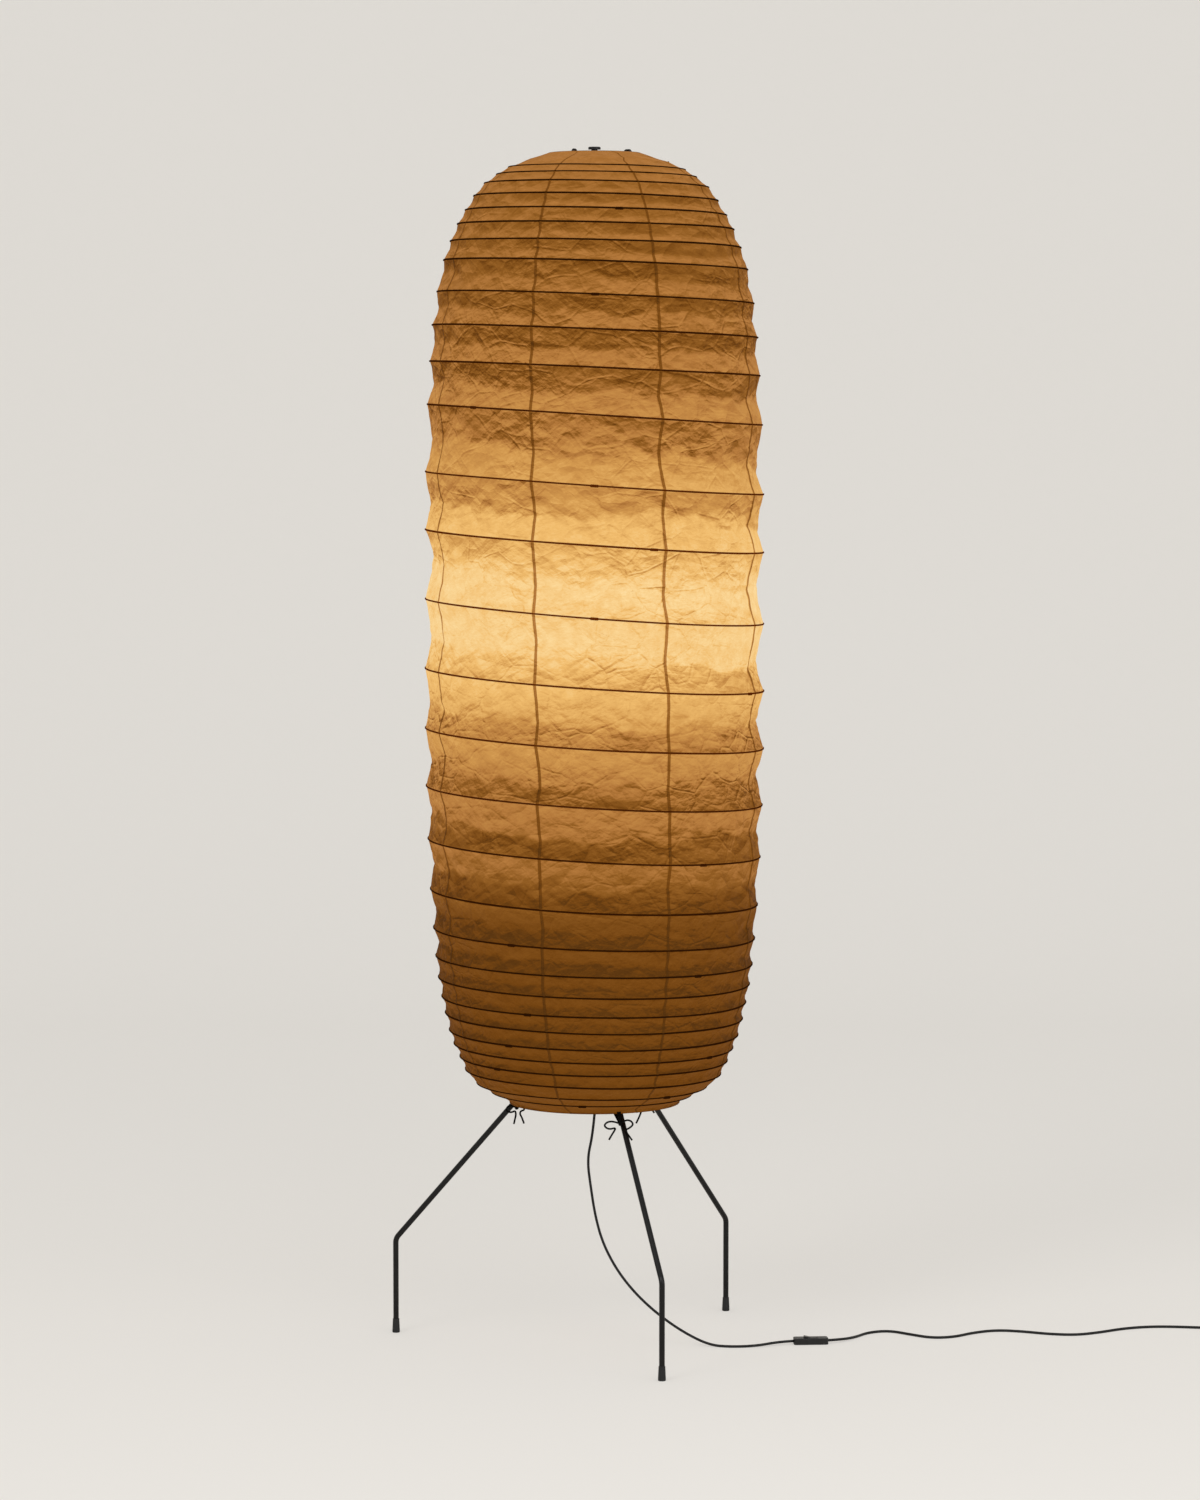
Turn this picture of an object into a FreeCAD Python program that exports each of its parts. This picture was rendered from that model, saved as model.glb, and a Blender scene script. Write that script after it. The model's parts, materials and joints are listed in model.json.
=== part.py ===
import FreeCAD, Part
import Sketcher
import math
import os

# A paper lantern floor lamp: a tall paper shade on one spiral rib, stretched over a
# wire stand with three bent legs. Millimetres, +Z up, +X to the right, -Y the front.
# The origin is on the floor, under the lamp's axis.

V = FreeCAD.Vector
up = V(0, 0, 1)
doc = FreeCAD.newDocument("paper_lantern_floor_lamp")
sheet = doc.addObject("Spreadsheet::Sheet", "sizes")

sizes = {
    # stand: one rod size for the ring and the legs
    "rod_radius": 4.5,
    "ring_radius": 129.5,
    "ring_height": 396,
    "leg_top_height": 391.5,
    "knee_radius": 333,
    "knee_height": 156,
    "knee_bend": 18,
    "leg_angle_left": 168.5,
    "leg_angle_front": -71.5,
    "leg_angle_right": 48.5,
    "foot_tip_radius": 6.2,
    "foot_tip_edge": 0.8,
    "foot_tip_neck": 5.3,
    "foot_tip_height": 23,
    "foot_tip_floor": 4,
    "spoke_radius": 3,
    "spoke_height": 402,
    "spoke_start": 15,
    "spoke_end": 131,
    "hub_radius": 18,
    "hub_bottom": 398,
    "hub_height": 8,
    # post from the hub to the lampholder
    "post_radius": 5,
    "post_bore": 3.9,
    "post_bottom": 392,
    "post_top": 1092,
    "nut_flat": 14,
    "nut_height": 3.5,
    "nut_low": 394.5,
    "nut_middle": 406,
    "nut_high": 1079,
    "gland_top": 394.5,
    "gland_radius": 8,
    "gland_shoulder": 386,
    "gland_neck": 5.5,
    "gland_end": 372,
    "gland_tip": 3.4,
    "gland_seat": 392,
    # lampholder
    "holder_bottom": 1084,
    "holder_collar": 8,
    "holder_collar_top": 1090,
    "holder_radius": 19.5,
    "holder_wall": 1.8,
    "holder_shoulder": 1097,
    "holder_slope": 1,
    "holder_split": 1101,
    "holder_roof": 1095,
    "holder_mouth": 1143,
    "insert_radius": 17.4,
    "insert_top": 1112,
    "shell_radius": 14.1,
    "shell_bore": 13.55,
    "shell_top": 1137,
    "shell_lip": 12.35,
    "shell_floor": 1112.8,
    "contact_top": 1113.7,
    "terminal_radius": 1.6,
    "terminal_offset": 10,
    "terminal_height": 3,
    # bulb
    "bulb_foot": 1114,
    "bulb_contact_radius": 4.5,
    "bulb_contact_height": 0.8,
    "bulb_seat_radius": 5.5,
    "bulb_insulator_radius": 11.5,
    "bulb_cap_bottom": 1118,
    "bulb_cap_top": 1141,
    "bulb_cap_radius": 13.2,
    "bulb_cap_root": 12.5,
    "bulb_cap_wall": 1,
    "bulb_thread_turns": 6,
    "bulb_globe_radius": 30,
    "bulb_globe_height": 1190,
    "bulb_neck_radius": 13.2,
    "bulb_glass_wall": 1,
    "bulb_flare_angle": 32,
    "stem_radius": 4,
    "stem_top": 1172,
    "filament_radius": 0.4,
    "filament_root": 2,
    "filament_span": 11,
    "filament_shoulder": 1182,
    "filament_height": 1188,
    "filament_bend": 1.5,
    # wires round the bulb and up to the top of the shade
    "saddle_length": 62,
    "saddle_width": 14,
    "saddle_height": 1082.5,
    "saddle_thickness": 1.5,
    "harp_wire_radius": 2,
    "harp_half_width": 62,
    "harp_foot_start": 18,
    "harp_foot_height": 1080.8,
    "harp_shoulder": 1205,
    "harp_top_half": 36,
    "harp_top": 1262,
    "harp_bend": 16,
    "boss_radius": 7,
    "boss_bottom": 1257,
    "boss_height": 19,
    "rod_seat": 1266,
    "upper_rod_radius": 3,
    "upper_rod_top": 1929,
    "crown_radius": 12,
    "crown_bottom": 1912.5,
    "crown_height": 10,
    "arm_radius": 1.75,
    "arm_height": 1917.4,
    "arm_start": 9,
    "arm_rise_start": 52,
    "arm_hump_start": 58,
    "arm_hump_end": 66,
    "arm_hump_height": 1925,
    "arm_foot": 70.5,
    "arm_end": 77,
    "arm_bend": 3,
    "arm_angle": -31,
    "finial_neck": 5,
    "finial_bottom": 1922.5,
    "finial_shoulder": 1928,
    "finial_radius": 10,
    "finial_top": 1932,
    "finial_edge": 1,
    # shade
    "paper_thickness": 0.8,
    "gore_count": 8,
    "seam_angle": 250,
    "seam_lap": 1.05,
    "string_hole_length": 26,
    "string_hole_width": 7,
    "string_hole_height": 12,
    "rib_radius": 1.5,
    "rib_facets": 8,
    "rib_slack": 0.18,
    "splice_radius": 2.3,
    "splice_length": 13,
    "top_ring_radius": 73,
    "top_ring_height": 1921,
    "top_ring_wire": 1.5,
    "bottom_ring_radius": 136,
    "bottom_ring_height": 394.6,
    "bottom_ring_wire": 1.6,
    # string ties
    "string_radius": 1.5,
    "string_gap": 0.35,
    "knot_radius": 3.2,
    "tie_angle_left": 172,
    "tie_angle_front": -74.3,
    "tie_angle_right": 53,
    "knot_reach_left": 128,
    "knot_reach_front": 152,
    "knot_reach_right": 142,
    "knot_height_left": 379.5,
    "knot_height_front": 378.5,
    "knot_height_right": 379.5,
    # cord, in-line switch and plug
    "cord_radius": 2.2,
    "switch_x": 351,
    "switch_y": -29,
    "switch_turn": 4,
    "switch_length": 56,
    "switch_hole_overrun": 2,
    "switch_width": 20,
    "switch_split": 5.3,
    "switch_height": 10.6,
    "switch_wall": 1.8,
    "switch_roof": 1.5,
    "switch_corner": 4,
    "switch_edge": 1.2,
    "switch_slot_length": 24,
    "switch_slot_width": 10.8,
    "rocker_width": 10,
    "rocker_base_half": 9.4,
    "rocker_half": 11.4,
    "rocker_bottom": 7.2,
    "rocker_flank": 9.2,
    "rocker_waist": 11,
    "rocker_top": 12.4,
    "rocker_axis": 8.6,
    "rocker_pin": 1,
    "rocker_pin_bore": 1.06,
    "rocker_pin_length": 14,
    "rocker_pin_play": 0.2,
    "rocker_rest_tilt": 6,
    "bearing_length": 5,
    "bearing_middle": 6.5,
    "bearing_width": 2.2,
    "bearing_bottom": 6.2,
    "screw_x": 20,
    "screw_y": 6,
    "screw_radius": 1.1,
    "screw_head": 2,
    "screw_head_height": 1.2,
    "screw_top": 8,
    "screw_recess": 0.4,
    "post_boss": 2.1,
    "strip_length": 15,
    "strip_width": 3,
    "strip_thickness": 0.8,
    "coil_x": 1052,
    "coil_y": 66,
    "coil_mean_radius": 24.75,
    "coil_band": 17.9,
    "coil_bottom": 0.9,
    "coil_height": 8.8,
    "coil_tie_width": 7,
    "coil_tie_thickness": 0.8,
    "plug_x": 1083.5,
    "plug_nose": -0.5,
    "plug_length": 34,
    "plug_half_width": 17,
    "plug_half_tail": 6.5,
    "plug_half_nose": 13.5,
    "plug_widest": 11,
    "plug_height": 13.6,
    "plug_edge": 2.4,
    "plug_sleeve_length": 12,
    "plug_sleeve_overlap": 3,
    "plug_sleeve_wide": 4.6,
    "plug_sleeve_tip": 3.1,
    "pin_radius": 2,
    "pin_core_radius": 1.2,
    "pin_sleeve_radius": 1.65,
    "pin_sleeve_length": 10,
    "pin_sleeve_overlap": 1,
    "pin_length": 19,
    "pin_root": 6,
    "pin_offset": 9.5,
    "pin_edge": 0.6,
}

# The shade's outline over its ribs, from the top ring down: radius, height.
shade_outline = [
    (74.2, 1922), (120, 1907), (168, 1880), (206, 1832), (236, 1768), (256, 1680), (266, 1560),
    (272, 1200), (270, 860), (262, 700), (246, 562), (222, 478), (184, 421), (138.2, 396.6),
]

# Height of each turn of the rib where it crosses the front of the shade, top to bottom.
rib_heights = [
    1910, 1897, 1886, 1871, 1850, 1827, 1805, 1777, 1746, 1692, 1639, 1580, 1509, 1393, 1305, 1189,
    1078, 985, 892, 808, 726, 668, 625, 592, 561, 535, 507, 486, 465, 444, 422, 409,
]

# Turns of the rib where two lengths of it are bound together, counted from the top.
splice_turns = [
    5.02, 9.0, 11.91, 13.0, 14.04, 15.0, 16.13, 19.08, 20.94, 22.08, 23.95, 25.93, 27.11, 27.91, 30.08, 30.99,
]

# Route of the cord from its gland to the in-line switch.
route_to_switch = [
    (0, 0, 372), (-3, 0, 338), (-12, -2, 298), (-6, -5, 252), (1, -8, 207), (13, -12, 163),
    (36, -16, 119), (67, -20, 80), (105, -25, 46), (146, -34, 19), (186, -50, 2.3),
    (220, -64, 2.3), (262, -58, 2.6), (300, -38, 5.3), (328, -30.6, 5.3),
]

# Route of the cord from the switch to its coil.
route_to_coil = [
    (374, -27.4, 5.3), (400, -20, 5.2), (426, 14, 2.3), (448, 52, 2.3), (484, 68, 2.3),
    (518, 36, 2.3), (550, 8, 2.3), (588, 16, 2.3), (620, 50, 2.3), (660, 72, 2.3), (702, 62, 2.3),
    (744, 40, 2.3), (788, 32, 2.3), (830, 54, 2.3), (872, 86, 2.3), (918, 102, 2.3),
    (964, 100, 2.3), (1002, 92, 2.3), (1033, 91, 3.1),
]


def fill_sheet():
    """Write every size to the sheet, each under its own alias."""
    rows = dict(sizes)
    for number, (radius, height) in enumerate(shade_outline, 1):
        rows["outline_radius_%d" % number] = radius
        rows["outline_height_%d" % number] = height
    for number, height in enumerate(rib_heights, 1):
        rows["rib_height_%d" % number] = height
    for row, (alias, number) in enumerate(rows.items(), 1):
        sheet.set("A%d" % row, alias)
        sheet.set("B%d" % row, str(number))
        sheet.setAlias("B%d" % row, alias)
    doc.recompute()


def size(alias):
    return float(sheet.get(alias))


def amount(text):
    """The number that a sum of sizes makes, such as 'hub_bottom + hub_height'."""
    total = 0.0
    sign = 1
    for word in text.split():
        if word in ("+", "-"):
            sign = 1 if word == "+" else -1
        else:
            total += sign * (float(word) if word[0].isdigit() else size(word))
    return total


def formula(text):
    """The same sum as an expression on the sheet."""
    words = text.split()
    return " ".join(w if w in ("+", "-") or w[0].isdigit() else "sizes." + w for w in words)


nodes = []


def keep(piece, label):
    piece.Label = label
    nodes.append(piece)
    return piece


def feature(label, shape, placement=None):
    """A piece whose shape comes straight from Part's functions."""
    piece = doc.addObject("Part::Feature", label)
    piece.Shape = shape
    if placement:
        piece.Placement = placement
    return piece


def cylinder(label, radius, bottom, height, x="0", y="0"):
    piece = doc.addObject("Part::Cylinder", label)
    piece.setExpression("Radius", formula(radius))
    piece.setExpression("Height", formula(height))
    piece.setExpression("Placement.Base.x", formula(x))
    piece.setExpression("Placement.Base.y", formula(y))
    piece.setExpression("Placement.Base.z", formula(bottom))
    return piece


def ring(label, radius, wire, height):
    piece = doc.addObject("Part::Torus", label)
    piece.setExpression("Radius1", formula(radius))
    piece.setExpression("Radius2", formula(wire))
    piece.setExpression("Placement.Base.z", formula(height))
    return piece


def box(label, length, width, height, x, y, z):
    """A block centred on x and y, standing on z."""
    piece = doc.addObject("Part::Box", label)
    piece.setExpression("Length", formula(length))
    piece.setExpression("Width", formula(width))
    piece.setExpression("Height", formula(height))
    piece.setExpression("Placement.Base.x", "%s - (%s) / 2" % (formula(x), formula(length)))
    piece.setExpression("Placement.Base.y", "%s - (%s) / 2" % (formula(y), formula(width)))
    piece.setExpression("Placement.Base.z", formula(z))
    return piece


def cut(label, base, tool):
    piece = doc.addObject("Part::Cut", label)
    piece.Base = base
    piece.Tool = tool
    return piece


def fuse(label, pieces):
    piece = doc.addObject("Part::MultiFuse", label)
    piece.Shapes = pieces
    return piece


def group(label, pieces):
    """Separate solids of one kind kept together as one node."""
    piece = doc.addObject("Part::Compound", label)
    piece.Links = pieces
    return piece


def plane_of(body, role):
    return [item for item in body.Origin.OriginFeatures if item.Role == role][0]


def closed_sketch(body, name, plane, corners):
    """A closed outline of straight lines, each corner held by two sizes from the sheet."""
    sketch = body.newObject("Sketcher::SketchObject", name)
    sketch.AttachmentSupport = [(plane_of(body, plane), "")]
    sketch.MapMode = "FlatFace"
    spots = [V(amount(across), amount(along), 0) for across, along in corners]
    count = len(spots)
    for i in range(count):
        sketch.addGeometry(Part.LineSegment(spots[i], spots[(i + 1) % count]), False)
    for i in range(count):
        sketch.addConstraint(Sketcher.Constraint("Coincident", i, 2, (i + 1) % count, 1))
    for i, (across, along) in enumerate(corners):
        for kind, text, axis in (("DistanceX", across, -2), ("DistanceY", along, -1)):
            if abs(amount(text)) < 1e-9:
                sketch.addConstraint(Sketcher.Constraint("PointOnObject", i, 1, axis))
            else:
                rule = Sketcher.Constraint(kind, -1, 1, i, 1, amount(text))
                index = sketch.addConstraint(rule)
                sketch.setExpression("Constraints[%d]" % index, formula(text))
    return sketch


def turned(label, outline):
    """A piece turned about the lamp's axis from its half outline: radius, height."""
    body = doc.addObject("PartDesign::Body", label)
    sketch = closed_sketch(body, label + "_outline", "XZ_Plane", outline)
    turning = body.newObject("PartDesign::Revolution", label + "_turning")
    turning.Profile = sketch
    turning.ReferenceAxis = (sketch, ["V_Axis"])
    turning.Angle = 360
    body.Tip = turning
    return body


def block(label, length, width, height, corner, edge, edge_height):
    """A moulded block centred on its own origin, with round corners and one round rim."""
    body = doc.addObject("PartDesign::Body", label)
    sketch = rectangle(body, label + "_plan", length, width)
    pad = body.newObject("PartDesign::Pad", label + "_pad")
    pad.Profile = sketch
    pad.setExpression("Length", formula(height))
    doc.recompute()
    upright = [
        "Edge%d" % (i + 1)
        for i, line in enumerate(pad.Shape.Edges)
        if abs(line.tangentAt(line.FirstParameter).z) > 0.9
    ]
    corners = body.newObject("PartDesign::Fillet", label + "_corners")
    corners.Base = (pad, upright)
    corners.setExpression("Radius", formula(corner))
    doc.recompute()
    rim = [
        "Edge%d" % (i + 1)
        for i, line in enumerate(corners.Shape.Edges)
        if abs(line.BoundBox.ZMin - edge_height) < 1e-6 and line.BoundBox.ZLength < 1e-6
    ]
    edges = body.newObject("PartDesign::Fillet", label + "_rim")
    edges.Base = (corners, rim)
    edges.setExpression("Radius", formula(edge))
    body.Tip = edges
    doc.recompute()
    return body


def rectangle(body, name, length, width):
    """A rectangle centred on the body's origin, in its XY plane."""
    sketch = body.newObject("Sketcher::SketchObject", name)
    sketch.AttachmentSupport = [(plane_of(body, "XY_Plane"), "")]
    sketch.MapMode = "FlatFace"
    half_long, half_wide = amount(length) / 2, amount(width) / 2
    spots = [
        (-half_long, -half_wide), (half_long, -half_wide), (half_long, half_wide), (-half_long, half_wide),
    ]
    for i in range(4):
        start, end = spots[i], spots[(i + 1) % 4]
        sketch.addGeometry(Part.LineSegment(V(start[0], start[1], 0), V(end[0], end[1], 0)), False)
    for i in range(4):
        sketch.addConstraint(Sketcher.Constraint("Coincident", i, 2, (i + 1) % 4, 1))
        sketch.addConstraint(Sketcher.Constraint("Horizontal" if i % 2 == 0 else "Vertical", i))
    sketch.addConstraint(Sketcher.Constraint("Symmetric", 0, 1, 1, 2, -1, 1))
    index = sketch.addConstraint(Sketcher.Constraint("DistanceX", 0, 1, 0, 2, amount(length)))
    sketch.setExpression("Constraints[%d]" % index, formula(length))
    index = sketch.addConstraint(Sketcher.Constraint("DistanceY", 1, 1, 1, 2, amount(width)))
    sketch.setExpression("Constraints[%d]" % index, formula(width))
    return sketch


def hollow(body, name, length, width, bottom, depth):
    """A rectangular pocket cut up from bottom by depth."""
    sketch = rectangle(body, name + "_plan", length, width)
    sketch.setExpression("AttachmentOffset.Base.z", formula(bottom))
    before = body.Shape.Volume
    pocket = body.newObject("PartDesign::Pocket", name)
    pocket.Profile = sketch
    pocket.Reversed = True
    pocket.setExpression("Length", formula(depth))
    body.Tip = pocket
    doc.recompute()
    if body.Shape.Volume >= before - 1e-6:
        raise RuntimeError(name + " cut nothing")
    return pocket


def rounded_path(points, bend=None):
    """Straight runs joined by tangent arcs, and the arcs' radii.

    With no bend radius given, each arc is as large as its two runs allow.
    """
    spots = [V(*p) for p in points]
    edges = []
    radii = []
    last = spots[0]
    for before, corner, after in zip(spots, spots[1:], spots[2:]):
        back = (before - corner).normalize()
        ahead = (after - corner).normalize()
        half_turn = (math.pi - back.getAngle(ahead)) / 2
        shorter = min((before - corner).Length, (after - corner).Length)
        reach = bend * math.tan(half_turn) if bend else 0.45 * shorter
        radius = reach / math.tan(half_turn)
        inward = (back + ahead).normalize()
        start = corner + back * reach
        end = corner + ahead * reach
        middle = corner + inward * (radius / math.cos(half_turn) - radius)
        edges.append(Part.LineSegment(last, start).toShape())
        edges.append(Part.Arc(start, middle, end).toShape())
        radii.append(radius)
        last = end
    edges.append(Part.LineSegment(last, spots[-1]).toShape())
    return Part.Wire(edges), radii


def swept(path, radius, facets=0):
    """A bar along a path, round or faceted, with its volume compared with section times length."""
    first = path.OrderedEdges[0]
    start = first.valueAt(first.FirstParameter)
    along = first.tangentAt(first.FirstParameter)
    circle = Part.Circle(start, along, radius)
    section = Part.Wire([circle.toShape()])
    if facets:
        corners = [circle.value(2 * math.pi * (i + 0.5) / facets) for i in range(facets)]
        section = Part.makePolygon(corners + corners[:1])
    bar = path.makePipeShell([section], True, False)
    expected = path.Length * Part.Face(section).Area
    if abs(bar.Volume - expected) > 0.01 * expected:
        raise RuntimeError("bar volume %.0f, expected %.0f" % (bar.Volume, expected))
    return bar


def cord_tube(label, points, radius):
    path, radii = rounded_path(points)
    print("%s: length %.0f, arc radii %s" % (label, path.Length, [round(r) for r in radii]))
    return feature(label, swept(path, radius))


def polar(radius, angle, height):
    a = math.radians(angle)
    return V(radius * math.cos(a), radius * math.sin(a), height)


sides = ("left", "front", "right")


def make_stand():
    keep(ring("base_ring", "ring_radius", "rod_radius", "ring_height"), "base_ring")
    foot_outline = [
        ("0", "0"), ("foot_tip_radius - foot_tip_edge", "0"), ("foot_tip_radius", "foot_tip_edge"),
        ("foot_tip_radius", "foot_tip_floor"), ("foot_tip_neck", "foot_tip_height"),
        ("rod_radius", "foot_tip_height"), ("rod_radius", "foot_tip_floor"), ("0", "foot_tip_floor"),
    ]
    for side in sides:
        angle = "leg_angle_" + side
        # a rod from under the ring out and down to the knee, then straight to the floor
        route = [
            polar(size("ring_radius"), 0, size("leg_top_height")),
            polar(size("knee_radius"), 0, size("knee_height")),
            polar(size("knee_radius"), 0, size("foot_tip_floor")),
        ]
        path, _ = rounded_path(route, size("knee_bend"))
        leg = feature("leg_" + side, swept(path, size("rod_radius")))
        leg.setExpression("Placement.Rotation.Angle", "sizes." + angle)
        leg.setExpression("Placement.Rotation.Axis.z", "1")
        keep(leg, "leg_" + side)
        tip = turned("foot_tip_" + side, foot_outline)
        tip.setExpression("Placement.Base.x", "sizes.knee_radius * cos(sizes.%s * 1 deg)" % angle)
        tip.setExpression("Placement.Base.y", "sizes.knee_radius * sin(sizes.%s * 1 deg)" % angle)
        keep(tip, "foot_tip_" + side)
        spoke = doc.addObject("Part::Cylinder", "spoke_" + side)
        spoke.setExpression("Radius", "sizes.spoke_radius")
        spoke.setExpression("Height", "sizes.spoke_end - sizes.spoke_start")
        tilt = FreeCAD.Rotation(V(0, 1, 0), 90)
        turn = FreeCAD.Rotation(up, size(angle))
        start = polar(size("spoke_start"), size(angle), size("spoke_height"))
        spoke.Placement = FreeCAD.Placement(start, turn * tilt)
        keep(spoke, "spoke_" + side)
    disc = cylinder("hub_disc", "hub_radius", "hub_bottom", "hub_height")
    bore = cylinder("hub_bore", "post_radius", "hub_bottom", "hub_height")
    keep(cut("base_hub", disc, bore), "base_hub")


def hex_nut(label, bottom):
    """A six-sided nut on the post's thread."""
    flat = doc.addObject("Part::Prism", label + "_hexagon")
    flat.Polygon = 6
    flat.setExpression("Circumradius", "sizes.nut_flat / sqrt(3)")
    flat.setExpression("Height", "sizes.nut_height")
    flat.setExpression("Placement.Base.z", formula(bottom))
    return cut(label, flat, cylinder(label + "_bore", "post_radius", bottom, "nut_height"))


def make_post():
    tube = cylinder("post_outside", "post_radius", "post_bottom", "post_top - post_bottom")
    bore = cylinder("post_inside", "post_bore", "post_bottom", "post_top - post_bottom")
    keep(cut("post_tube", tube, bore), "post_tube")
    nuts = [hex_nut("post_nut_" + place, "nut_" + place) for place in ("low", "middle", "high")]
    keep(group("post_nuts", nuts), "post_nuts")
    gland = turned("cord_gland", [
        ("cord_radius", "gland_end"), ("gland_tip", "gland_end"), ("gland_neck", "gland_shoulder"),
        ("gland_radius", "gland_shoulder"), ("gland_radius", "gland_top"), ("post_radius", "gland_top"),
        ("post_radius", "gland_seat"), ("cord_radius", "gland_seat"),
    ])
    keep(gland, "cord_gland")
    inner = cylinder("cord_in_post", "cord_radius", "gland_end", "holder_roof - gland_end")
    keep(inner, "cord_in_post")


def make_lampholder():
    cap = turned("lampholder_cap", [
        ("post_radius", "holder_bottom"), ("holder_collar", "holder_bottom"),
        ("holder_collar", "holder_collar_top"), ("holder_radius", "holder_shoulder"),
        ("holder_radius", "holder_split"), ("holder_radius - holder_wall", "holder_split"),
        ("holder_radius - holder_wall", "holder_shoulder + holder_slope"), ("holder_collar", "post_top"),
        ("post_radius", "post_top"),
    ])
    keep(cap, "lampholder_cap")
    sleeve = turned("lampholder_sleeve", [
        ("holder_radius - holder_wall", "holder_split"), ("holder_radius", "holder_split"),
        ("holder_radius", "holder_mouth"), ("holder_radius - holder_wall", "holder_mouth"),
    ])
    keep(sleeve, "lampholder_sleeve")
    disc = cylinder("insert_disc", "insert_radius", "holder_split", "insert_top - holder_split")
    wells = terminal_pair("terminal_well_")
    keep(cut("lampholder_insert", disc, fuse("terminal_wells", wells)), "lampholder_insert")
    shell = turned("thread_shell", [
        ("shell_lip", "insert_top"), ("shell_radius", "insert_top"), ("shell_radius", "shell_top"),
        ("shell_bore", "shell_top"), ("shell_bore", "shell_floor"), ("shell_lip", "shell_floor"),
    ])
    keep(shell, "thread_shell")
    contact = cylinder("centre_contact", "bulb_contact_radius", "insert_top", "contact_top - insert_top")
    keep(contact, "centre_contact")
    keep(group("terminal_screws", terminal_pair("terminal_screw_")), "terminal_screws")


def terminal_pair(label):
    """Two cylinders of a terminal screw's size, sunk in the insert's face."""
    height = "terminal_height"
    return [
        cylinder(label + side, "terminal_radius", "insert_top - " + height, height, place)
        for side, place in (("left", "0 - terminal_offset"), ("right", "terminal_offset"))
    ]


def make_upper_wires():
    strip = box(
        "saddle_strip", "saddle_length", "saddle_width", "saddle_thickness", "0", "0", "saddle_height",
    )
    hole = cylinder("saddle_hole", "post_radius", "saddle_height", "saddle_thickness")
    keep(cut("harp_saddle", strip, hole), "harp_saddle")
    wide = size("harp_half_width")
    half = [
        (size("harp_foot_start"), size("harp_foot_height")), (wide, size("harp_foot_height")),
        (wide, size("harp_shoulder")), (size("harp_top_half"), size("harp_top")),
    ]
    route = [(-x, 0, z) for x, z in half] + [(x, 0, z) for x, z in reversed(half)]
    path, _ = rounded_path(route, size("harp_bend"))
    keep(feature("harp_wire", swept(path, size("harp_wire_radius"))), "harp_wire")
    boss = cylinder("boss_body", "boss_radius", "boss_bottom", "boss_height")
    seat = cylinder("boss_seat", "upper_rod_radius", "rod_seat", "boss_bottom + boss_height - rod_seat")
    keep(cut("harp_boss", boss, seat), "harp_boss")
    rod = cylinder("upper_rod", "upper_rod_radius", "rod_seat", "upper_rod_top - rod_seat")
    keep(rod, "upper_rod")
    crown = cylinder("crown_body", "crown_radius", "crown_bottom", "crown_height")
    bore = cylinder("crown_bore", "upper_rod_radius", "crown_bottom", "crown_height")
    keep(cut("crown_hub", crown, bore), "crown_hub")
    # each arm has a hump inside the shade's top ring and a foot under it
    profile = [
        ("arm_start", "arm_height"), ("arm_rise_start", "arm_height"), ("arm_hump_start", "arm_hump_height"),
        ("arm_hump_end", "arm_hump_height"), ("arm_foot", "arm_height"), ("arm_end", "arm_height"),
    ]
    route = [(size(across), 0, size(along)) for across, along in profile]
    path, _ = rounded_path(route, size("arm_bend"))
    arm = swept(path, size("arm_radius"))
    arms = []
    for number in range(4):
        turn = FreeCAD.Placement(V(), FreeCAD.Rotation(up, size("arm_angle") + 90 * number))
        arms.append(feature("crown_arm_%d" % (number + 1), arm, turn))
    keep(group("crown_arms", arms), "crown_arms")
    finial = turned("finial_nut", [
        ("upper_rod_radius", "finial_bottom"), ("finial_neck", "finial_bottom"),
        ("finial_neck", "finial_shoulder"), ("finial_radius", "finial_shoulder"),
        ("finial_radius", "finial_top - finial_edge"), ("finial_radius - finial_edge", "finial_top"),
        ("0", "finial_top"), ("0", "upper_rod_top"), ("upper_rod_radius", "upper_rod_top"),
    ])
    keep(finial, "finial_nut")


def make_bulb():
    contact = cylinder("bulb_contact", "bulb_contact_radius", "bulb_foot", "bulb_contact_height")
    keep(contact, "bulb_contact")
    insulator = turned("bulb_insulator", [
        ("0", "bulb_foot + bulb_contact_height"), ("bulb_seat_radius", "bulb_foot + bulb_contact_height"),
        ("bulb_insulator_radius", "bulb_cap_bottom"), ("0", "bulb_cap_bottom"),
    ])
    keep(insulator, "bulb_insulator")
    # the screw cap's rolled thread, drawn as rings
    bottom, top = size("bulb_cap_bottom"), size("bulb_cap_top")
    crest, root = size("bulb_cap_radius"), size("bulb_cap_root")
    pitch = (top - bottom) / size("bulb_thread_turns")
    inside = root - size("bulb_cap_wall")
    outline = [V(inside, 0, bottom), V(root, 0, bottom)]
    for number in range(int(size("bulb_thread_turns"))):
        outline.append(V(crest, 0, bottom + pitch * (number + 0.5)))
        outline.append(V(root, 0, bottom + pitch * (number + 1)))
    outline.append(V(inside, 0, top))
    outline.append(outline[0])
    cap = Part.Face(Part.makePolygon(outline)).revolve(V(), up, 360)
    keep(feature("bulb_cap", cap), "bulb_cap")
    glass = bulb_half(0).cut(bulb_half(size("bulb_glass_wall")))
    keep(feature("bulb_glass", glass), "bulb_glass")
    stem = cylinder("stem_rod", "stem_radius", "bulb_cap_bottom", "stem_top - bulb_cap_bottom")
    keep(stem, "bulb_stem")
    half = [
        (size("filament_root"), size("stem_top")), (size("filament_span"), size("filament_shoulder")),
        (size("filament_span") / 2, size("filament_height")),
    ]
    loop = [(x, 0, z) for x, z in half] + [(-x, 0, z) for x, z in reversed(half)]
    path, _ = rounded_path(loop, size("filament_bend"))
    keep(feature("bulb_filament", swept(path, size("filament_radius"))), "bulb_filament")


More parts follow.
